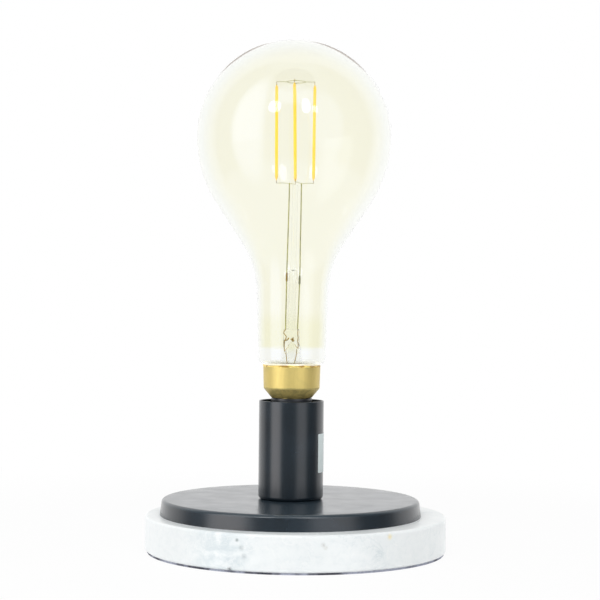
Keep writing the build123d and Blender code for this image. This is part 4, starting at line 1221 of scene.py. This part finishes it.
# Which point of a seal wire carries its weld, and where its end lands on the driver's board
WELD_POINT = 8
BOARD_ENDS = {"left": board_low.x + 5.1 * MM, "right": board_high.x - 7.4 * MM}


def seal_path(points):
    """Points of a seal wire in the frame."""
    foot = flare_high.z - bpy.context.scene.lamp_mount.pinch_height
    return [(shift_x(x * MM), y * MM, foot + z * MM) for x, y, z in points]


class LAMP_OT_lead_wires(bpy.types.Operator):
    """Bend the two long lead wires, their welded sleeves and the gilt wires in the seal"""

    bl_idname = "lamp.lead_wires"
    bl_label = "Lead wires"

    def execute(self, context):
        settings = context.scene.lamp_mount
        nickel, gilt = make_listed("nickel_wire"), make_listed("gilt_wire")
        sides = ((-1, "left", LEFT_BOW, settings.sleeve_left, "brown"),
                 (1, "right", RIGHT_BOW, settings.sleeve_right, "olive"))
        for side, name, bow, rise, tone in sides:
            self.long_wire(settings, side, name, bow, nickel)
            self.sleeve(settings, side, name, bow, rise, tone)
        self.seal_wire(settings, "left", LEFT_SEAL_WIRE, GILT_HOOK, 1.6, gilt)
        self.seal_wire(settings, "right", RIGHT_SEAL_WIRE, GILT_KNOT, 1.4, gilt)
        return {"FINISHED"}

    def bowed(self, settings, side, bow, share):
        """Sideways place of a long wire at a share of its length."""
        for (low, low_bow), (high, high_bow) in zip(bow, bow[1:]):
            if share <= high:
                part = (share - low) / (high - low)
                return side * settings.wire_spread / 2 + (low_bow + (high_bow - low_bow) * part) * MM

    def long_wire(self, settings, side, name, bow, nickel):
        """One long wire from the seal up to the cage."""
        points = []
        for share, _ in bow:
            across = self.bowed(settings, side, bow, share)
            points.append(on_mount(settings, share * settings.wire_length, across))
        piece = wire(f"supply_wire_{name}", points, settings.wire_radius, sides=4, detail=10)
        wear(piece, nickel)
        hand_in(piece, "bulb", f"lead_wire_{name}")

    def sleeve(self, settings, side, name, bow, rise, tone):
        """The welded sleeve on a long wire, pinched at its ends."""
        stations = []
        for share, width in SLEEVE:
            along = rise + share * settings.sleeve_length
            across = self.bowed(settings, side, bow, along / settings.wire_length)
            stations.append((on_mount(settings, along, across), settings.sleeve_radius * width))
        piece = round_loft(f"weld_sleeve_{name}", stations, sides=24)
        wear(piece, make_listed(f"{tone}_weld"))
        hand_in(piece, "bulb", f"splice_{name}")

    def seal_wire(self, settings, name, path, loop, thickening, gilt):
        """A thin wire through the seal with its weld, and the hook or knot beside it."""
        radius = settings.seal_wire_radius
        points = seal_path(path)
        landing = (BOARD_ENDS[name], 0, board_high.z + 0.15 * MM)
        piece = joined(f"seal_wire_{name}", [
            wire("thin_wire", points + [landing], radius),
            weld_drop(points[WELD_POINT], radius * 1.5, 1.4),
            wire("loop", seal_path(loop), radius * thickening),
        ])
        wear(piece, gilt)
        hand_in(piece, "bulb", f"board_lead_{name}")


# Filament cage

# How much wider a weld is than its wire
WELD_SWELL = 1.15

# How far each stick's foot and top stand sideways from their square places
STICK_LEAN = {"front": (0.0, -1.5 * MM), "right": (-0.8 * MM, -0.3 * MM),
              "back": (-0.1 * MM, -1.2 * MM), "left": (0.0, -0.55 * MM)}

# A stick's tapered end: shares of its length in from the end, and of the stick's radius
STICK_TAPER = ((0.3, 0.5), (0.65, 0.82), (1.0, 0.97))
STICK_BODY = (0.1, 0.22, 0.34, 0.5, 0.61, 0.77, 0.9)

# The ring's points and its slight unevenness, and the names of the sticks its four arms reach
RING_POINTS = 24
RING_WAVE = 0.018
ARMS = ("right", "back", "left", "front")


class LAMP_OT_filaments(bpy.types.Operator):
    """Form one coated stick with its pins and copy it round the cage"""

    bl_idname = "lamp.filaments"
    bl_label = "Filament sticks"

    def execute(self, context):
        settings = context.scene.lamp_cage
        low = stick_low.z + settings.pin_length + settings.link_wire
        high = low + settings.stick_length + settings.lift
        coat = make_phosphor(settings, low, high)
        pin = make_listed("stick_pin")
        first = self.stick(settings, low, high)
        wear(first, coat, pin)
        for face in first.data.polygons:
            face.material_index = 0 if low < face.center.z < high else 1
        centre = shift_x(settings.shift)
        places = {"front": (centre, -settings.radius), "right": (centre + settings.radius, 0),
                  "back": (centre, settings.radius), "left": (centre - settings.radius, 0)}
        home = places["front"]
        for name, (x, y) in places.items():
            piece = first
            if name != "front":
                only(first)
                bpy.ops.object.duplicate()
                piece = bpy.context.object
                bpy.ops.transform.translate(value=(x - home[0], y - home[1], 0))
                settle(piece, ROUND)
            piece.name = f"stick_{name}"
        tall = stick_high.z - stick_low.z + settings.lift
        for name, (x, y) in places.items():
            foot, top = STICK_LEAN[name]
            piece = bpy.data.objects[f"stick_{name}"]
            only(piece)
            bpy.ops.transform.translate(value=(foot, 0, 0))
            bpy.ops.transform.rotate(value=math.atan2(foot - top, tall), orient_axis="Y",
                                     center_override=(x + foot, y, stick_low.z))
            settle(piece, ROUND)
            hand_in(piece, "bulb", f"filament_{name}")
        return {"FINISHED"}

    def stick(self, settings, low, high):
        """A stick with tapered ends and a pin at each."""
        thick, pin, point = settings.stick_radius, settings.pin_radius, settings.stick_point
        tip = 0.05 * MM
        pins_low, pins_high = stick_low.z + tip, stick_high.z - tip + settings.lift
        step = 0.02 * MM
        lower = [(pins_low, pin * 0.8), (pins_low + 2 * tip, pin), (low - step, pin), (low, pin * 1.5)]
        upper = [(high, pin * 1.5), (high + step, pin), (pins_high - 2 * tip, pin), (pins_high, pin * 0.8)]
        profile = lower + [(low + point * along, thick * share) for along, share in STICK_TAPER]
        profile += [(low + settings.stick_length * share, thick * (1.0 + 0.025 * math.sin(40 * share)))
                    for share in STICK_BODY]
        profile += [(high - point * along, thick * share) for along, share in STICK_TAPER[::-1]] + upper
        middle = shift_x(settings.shift)
        stations = [((middle, -settings.radius, height), half) for height, half in profile]
        return round_loft("stick_front", stations, sides=20, smooth_degrees=ROUND)


class LAMP_OT_cage_wires(bpy.types.Operator):
    """Bend the ring at the top of the cage and the links at its foot"""

    bl_idname = "lamp.cage_wires"
    bl_label = "Cage wires"

    def execute(self, context):
        settings = context.scene.lamp_cage
        nickel = bpy.data.materials["nickel_wire"]
        self.ring(settings, nickel)
        for side, name, partner in ((-1, "left", "back"), (1, "right", "front")):
            self.link(settings, side, name, partner, nickel)
        return {"FINISHED"}

    def ring(self, settings, nickel):
        """The ring with an arm and a weld to each stick."""
        height = (ring_low.z + ring_high.z) / 2 + settings.lift
        centre = shift_x(settings.shift)
        radius, thick = settings.ring_radius, settings.ring_wire
        round_points = []
        for step in range(RING_POINTS):
            turn = FULL_TURN * step / RING_POINTS
            wave = radius * (1 + RING_WAVE * math.sin(3 * turn + 1))
            round_points.append((centre + wave * math.cos(turn), wave * math.sin(turn), height))
        pieces = [wire("ring", round_points, thick, closed=True)]
        reach, bend, dip = settings.radius - settings.pin_radius, 2 * MM, 0.03 * MM
        ends = ((radius - thick, 0.0), (radius + bend, dip), (reach - bend, -dip), (reach, 0.0))
        for quarter, name in enumerate(ARMS):
            across, deep = round(math.cos(quarter * math.pi / 2)), round(math.sin(quarter * math.pi / 2))
            lean = STICK_LEAN[name][1]
            points = [(centre + across * far + lean * (far > radius + bend), deep * far, height + lift)
                      for far, lift in ends]
            pieces.append(wire("arm", points, thick * 0.9))
            pieces += [weld_drop(points[end], thick * WELD_SWELL) for end in (0, -1)]
        piece = joined("cage_ring", pieces)
        wear(piece, nickel)
        hand_in(piece, "bulb", "top_ring")

    def link(self, settings, side, name, partner, nickel):
        """From a long wire's top to its own stick and to the back or front one."""
        mount = bpy.context.scene.lamp_mount
        height = (link_low.z + link_high.z) / 2 - 0.12 * MM
        centre = shift_x(settings.shift)
        foot = stick_low.z + settings.link_wire
        reach = side * (settings.radius - settings.pin_radius)
        x, y, z = on_mount(mount, mount.wire_length, side * mount.wire_spread / 2)
        hub = (x, y, z + 0.1 * MM)
        own = (centre + reach + STICK_LEAN[name][0], 0, foot)
        other = (centre + STICK_LEAN[partner][0], -reach, foot)
        pieces = [weld_drop(hub, mount.wire_radius * WELD_SWELL, 1.25)]
        for end in (own, other):
            middle = between(hub, end, 0.5)
            pieces.append(wire("link", [hub, (middle[0], middle[1], height), end], settings.link_wire))
            pieces.append(weld_drop(end, settings.link_wire * 1.5))
        piece = joined(f"link_wire_{name}", pieces)
        wear(piece, nickel)
        hand_in(piece, "bulb", f"link_{name}")


# Brass cap

# The rolled lip: size of its waves, how far down they reach, and their share at the front
LIP_WAVES = 7 * MM
LIP_REACH = 2.2 * MM
LIP_FRONT = 0.25


def rounded(before, corner, after, radius, steps=5):
    """A short curve that takes a corner between two lines."""
    start, end = (between(corner, far, min(0.45, radius / math.dist(far, corner)))
                  for far in (before, after))
    points = []
    for step in range(steps + 1):
        share = step / steps
        points.append(between(between(start, corner, share), between(corner, end, share), share))
    return points


class LAMP_OT_cap_skirt(bpy.types.Operator):
    """Press the brass skirt with its cone, its wall and its rolled lip"""

    bl_idname = "lamp.cap_skirt"
    bl_label = "Cap skirt"

    def execute(self, context):
        settings = context.scene.lamp_cap
        piece = lathe("brass_skirt", self.outline(settings), settings.steps)
        self.roll_unevenly(piece, settings)
        wear(piece, make_brass(settings))
        hand_in(piece, "bulb", "cap_skirt")
        return {"FINISHED"}

    def outline(self, settings):
        """The skirt's closed outline, from its hole out, up, over the lip and back inside."""
        sheet, bead, corner = settings.sheet, settings.bead, settings.corner
        bottom, top = skirt_low.z, skirt_high.z - settings.lip_drop
        hole = min((shell_high.x - shell_low.x) / 2, settings.foot_radius - 4 * MM)
        foot = (settings.foot_radius, bottom)
        waist = (settings.waist_radius, bottom + settings.waist_rise)
        rim = ((skirt_high.x - skirt_low.x) / 2 - bead + sheet / 2, top)
        slope = math.atan2(settings.waist_rise, waist[0] - foot[0])
        foot_start = (foot[0] - corner, bottom)
        outer = [(hole, bottom), foot_start] + rounded(foot_start, foot, waist, corner)
        outer += [between(foot, waist, share) for share in QUARTERS]
        outer += rounded(foot, waist, rim, corner)
        outer += [between(waist, rim, share) for share in (0.2, 0.4, 0.6, 0.8, 0.9)]
        bead_middle = (rim[0] - sheet / 2, top - bead)
        outer += arc_points(bead_middle, bead, -math.radians(60), math.radians(240), steps=16)
        inner = [(rim[0] - sheet, top - 2.4 * bead), (waist[0] - sheet, waist[1] + 0.2 * sheet),
                 (foot[0] - sheet * math.sin(slope) * 0.6, bottom + sheet), (hole, bottom + sheet),
                 (hole, bottom)]
        return outer + inner

    def roll_unevenly(self, piece, settings):
        """Let the rolled lip wander a little, as crimped brass does."""
        only(piece)
        texture = bpy.data.textures.new("lip_clouds", "CLOUDS")
        texture.noise_scale = LIP_WAVES
        lip = piece.vertex_groups.new(name="lip")
        for point in piece.data.vertices:
            share = 1 - (skirt_high.z - settings.lip_drop - point.co.z) / LIP_REACH
            if share > 0:
                aside = min(abs(point.co.x - AXIS_X) / skirt_high.x, 1.0)
                lip.add([point.index], share * (LIP_FRONT + (1 - LIP_FRONT) * aside), "REPLACE")
        bpy.ops.object.modifier_add(type="DISPLACE")
        wave = piece.modifiers[-1]
        wave.texture = texture
        wave.texture_coords = "LOCAL"
        wave.direction = "Z"
        wave.vertex_group = "lip"
        wave.mid_level = 1.0
        wave.strength = settings.unevenness
        bpy.ops.object.modifier_apply(modifier=wave.name)
        piece.vertex_groups.clear()


# Label

class LAMP_OT_label(bpy.types.Operator):
    """Wrap the bare paper label round the cup"""

    bl_idname = "lamp.label"
    bl_label = "Label"

    def execute(self, context):
        settings = context.scene.lamp_base
        skin = CUP_RADIUS + settings.label_gap
        turn = settings.label_start - math.pi / 2
        place = (shift_x(skin * math.cos(turn)), skin * math.sin(turn), label_low.z)
        piece = start_point("paper_label", place)
        rise = (label_high.z - label_low.z) / settings.label_rows
        for _ in range(settings.label_rows):
            bpy.ops.mesh.extrude_region_move(TRANSFORM_OT_translate={"value": (0, 0, rise)})
        turn_open(settings.label_columns, -settings.label_wrap)
        weld_skin()
        self.round_corners(piece, settings)
        bpy.ops.object.modifier_add(type="SOLIDIFY")
        sheet = piece.modifiers[-1]
        sheet.thickness = settings.label_thickness
        sheet.offset = 1.0 if self.faces_out(piece) else -1.0
        bpy.ops.object.modifier_apply(modifier=sheet.name)
        settle(piece, smooth_degrees=30)
        wear(piece, make_paper(settings))
        hand_in(piece, "lamp_base", "blank_label")
        return {"FINISHED"}

    def faces_out(self, piece):
        """Whether the sheet's faces point away from the cup."""
        face = piece.data.polygons[0]
        centre = piece.matrix_world @ face.center
        return face.normal.dot(Vector((centre.x - AXIS_X, centre.y, 0))) > 0

    def round_corners(self, piece, settings):
        """Take the sharp corners off the sheet."""
        bpy.ops.mesh.select_all(action="DESELECT")
        bpy.ops.object.mode_set(mode="OBJECT")
        uses = [0] * len(piece.data.vertices)
        for edge in piece.data.edges:
            for index in edge.vertices:
                uses[index] += 1
        for point, used in zip(piece.data.vertices, uses):
            point.select = used == 2
        bpy.ops.object.mode_set(mode="EDIT")
        bpy.ops.mesh.select_mode(type="VERT")
        bpy.ops.mesh.bevel(offset=settings.label_corner, affect="VERTICES", segments=4,
                           clamp_overlap=False)
        bpy.ops.object.mode_set(mode="OBJECT")


# Plate

class LAMP_OT_plate(bpy.types.Operator):
    """Spin the sheet-metal plate with its rounded shoulder and its slightly splayed wall"""

    bl_idname = "lamp.plate"
    bl_label = "Plate"

    def execute(self, context):
        settings = context.scene.lamp_base
        top, bottom = plate_high.z, plate_low.z
        radius = (plate_high.x - plate_low.x) / 2
        sheet, turn, hole = settings.plate_sheet, settings.plate_shoulder, settings.plate_hole
        middle = (radius - settings.plate_splay - turn, top - turn)
        outline = [(hole, top)] + [(radius * share, top) for share in (0.3, 0.6, 0.85)]
        outline += arc_points(middle, turn, math.pi / 2, 0, steps=12)
        outline += [between(outline[-1], (radius, bottom), share) for share in (0.3, 0.6, 0.97, 1.0)]
        outline += [(radius - sheet, bottom)]
        outline += arc_points(middle, turn - sheet, 0, math.pi / 2, steps=6)
        outline += [(hole, top - sheet), (hole, top)]
        piece = lathe("base_plate_sheet", outline, settings.plate_steps, smooth_degrees=40)
        wear(piece, make_paint(settings))
        hand_in(piece, "lamp_base", "base_plate")
        return {"FINISHED"}


# Finishes of the pieces that keep their shape

# Which nodes wear which finish
HOLDER_FINISHES = {
    "moulded_black": ("holder_cap", "holder_sleeve"),
    "glazed_porcelain": ("holder_core",),
    "contact_brass": ("screw_shell", "shell_rivets", "live_terminal", "neutral_terminal",
                      "centre_contact", "block_tubes"),
    "zinc_steel": ("terminal_screws", "contact_spring", "contact_clip", "grub_screw", "block_screws",
                   "block_fixing_screw", "threaded_nipple", "penny_washer", "toothed_washer",
                   "nipple_nut", "cup_nut", "plate_spacer"),
    "white_nylon": ("terminal_block", "nipple_bush"),
    "brown_lead_plastic": ("live_lead",),
    "blue_lead_plastic": ("neutral_lead",),
}
CAP_FINISHES = {
    "thread_brass": ("cap_shell",),
    "solder": ("cap_eyelet",),
    "black_cap_glass": ("cap_insulator",),
    "cap_cement": ("cap_cement",),
    "board_green": ("driver_board",),
    "component_black": ("driver_capacitor", "driver_inductor", "driver_rectifier"),
}


def finish(material, *nodes):
    """Give one finish to nodes of the frame that keep their shape."""
    for node in nodes:
        wear(frame["nodes"][node], material)


def finish_all(finishes):
    """Make the finishes of a table and give each to its nodes."""
    for name, nodes in finishes.items():
        finish(make_listed(name), *nodes)


class LAMP_OT_base_finish(bpy.types.Operator):
    """Paint the cup, hone the marble and finish the pad and the bush"""

    bl_idname = "lamp.base_finish"
    bl_label = "Base finish"

    def execute(self, context):
        finish(make_marble(context.scene.lamp_base), "marble_base")
        finish(bpy.data.materials["satin_black_paint"], "socket_cup")
        finish(make_pad(), "base_pad")
        finish_all({"bush_plastic": ("cord_bush",)})
        return {"FINISHED"}


class LAMP_OT_holder_finish(bpy.types.Operator):
    """Finish the lampholder, its contacts and its leads"""

    bl_idname = "lamp.holder_finish"
    bl_label = "Lampholder finish"

    def execute(self, context):
        finish_all(HOLDER_FINISHES)
        return {"FINISHED"}


class LAMP_OT_cap_finish(bpy.types.Operator):
    """Finish the bulb's screw cap and the driver inside it"""

    bl_idname = "lamp.cap_finish"
    bl_label = "Cap finish"

    def execute(self, context):
        finish_all(CAP_FINISHES)
        finish(bpy.data.materials["nickel_wire"], "eyelet_lead", "side_wire")
        return {"FINISHED"}


class LAMP_PT_panel(bpy.types.Panel):
    """The lamp's tab in the sidebar"""

    bl_label = "Filament table lamp"
    bl_idname = "LAMP_PT_panel"
    bl_space_type = "VIEW_3D"
    bl_region_type = "UI"
    bl_category = "Lamp"

    def draw(self, context):
        for operator in OPERATORS:
            self.layout.operator(operator.bl_idname)


SETTINGS = {
    "lamp_stage": LampStage,
    "lamp_glass": LampGlass,
    "lamp_mount": LampMount,
    "lamp_cage": LampCage,
    "lamp_cap": LampCap,
    "lamp_base": LampBase,
}
OPERATORS = (
    LAMP_OT_stage,
    LAMP_OT_bulb_glass,
    LAMP_OT_glass_mount,
    LAMP_OT_lead_wires,
    LAMP_OT_filaments,
    LAMP_OT_cage_wires,
    LAMP_OT_cap_skirt,
    LAMP_OT_label,
    LAMP_OT_plate,
    LAMP_OT_base_finish,
    LAMP_OT_holder_finish,
    LAMP_OT_cap_finish,
)
GROUPS = (make_grain, make_dust, make_wear, make_streaks, make_smudge)


def register():
    """Add the settings, the operators and the panel."""
    for name, settings in SETTINGS.items():
        bpy.utils.register_class(settings)
        setattr(bpy.types.Scene, name, bpy.props.PointerProperty(type=settings))
    for operator in OPERATORS:
        bpy.utils.register_class(operator)
    bpy.utils.register_class(LAMP_PT_panel)


def unregister():
    """Take away what register adds."""
    bpy.utils.unregister_class(LAMP_PT_panel)
    for operator in reversed(OPERATORS):
        bpy.utils.unregister_class(operator)
    for name, settings in SETTINGS.items():
        delattr(bpy.types.Scene, name)
        bpy.utils.unregister_class(settings)


def main():
    """Make every piece in order."""
    register()
    for make in GROUPS:
        make()
    for operator in OPERATORS:
        getattr(bpy.ops.lamp, operator.bl_idname.removeprefix("lamp."))()


if __name__ == "__main__":
    main()
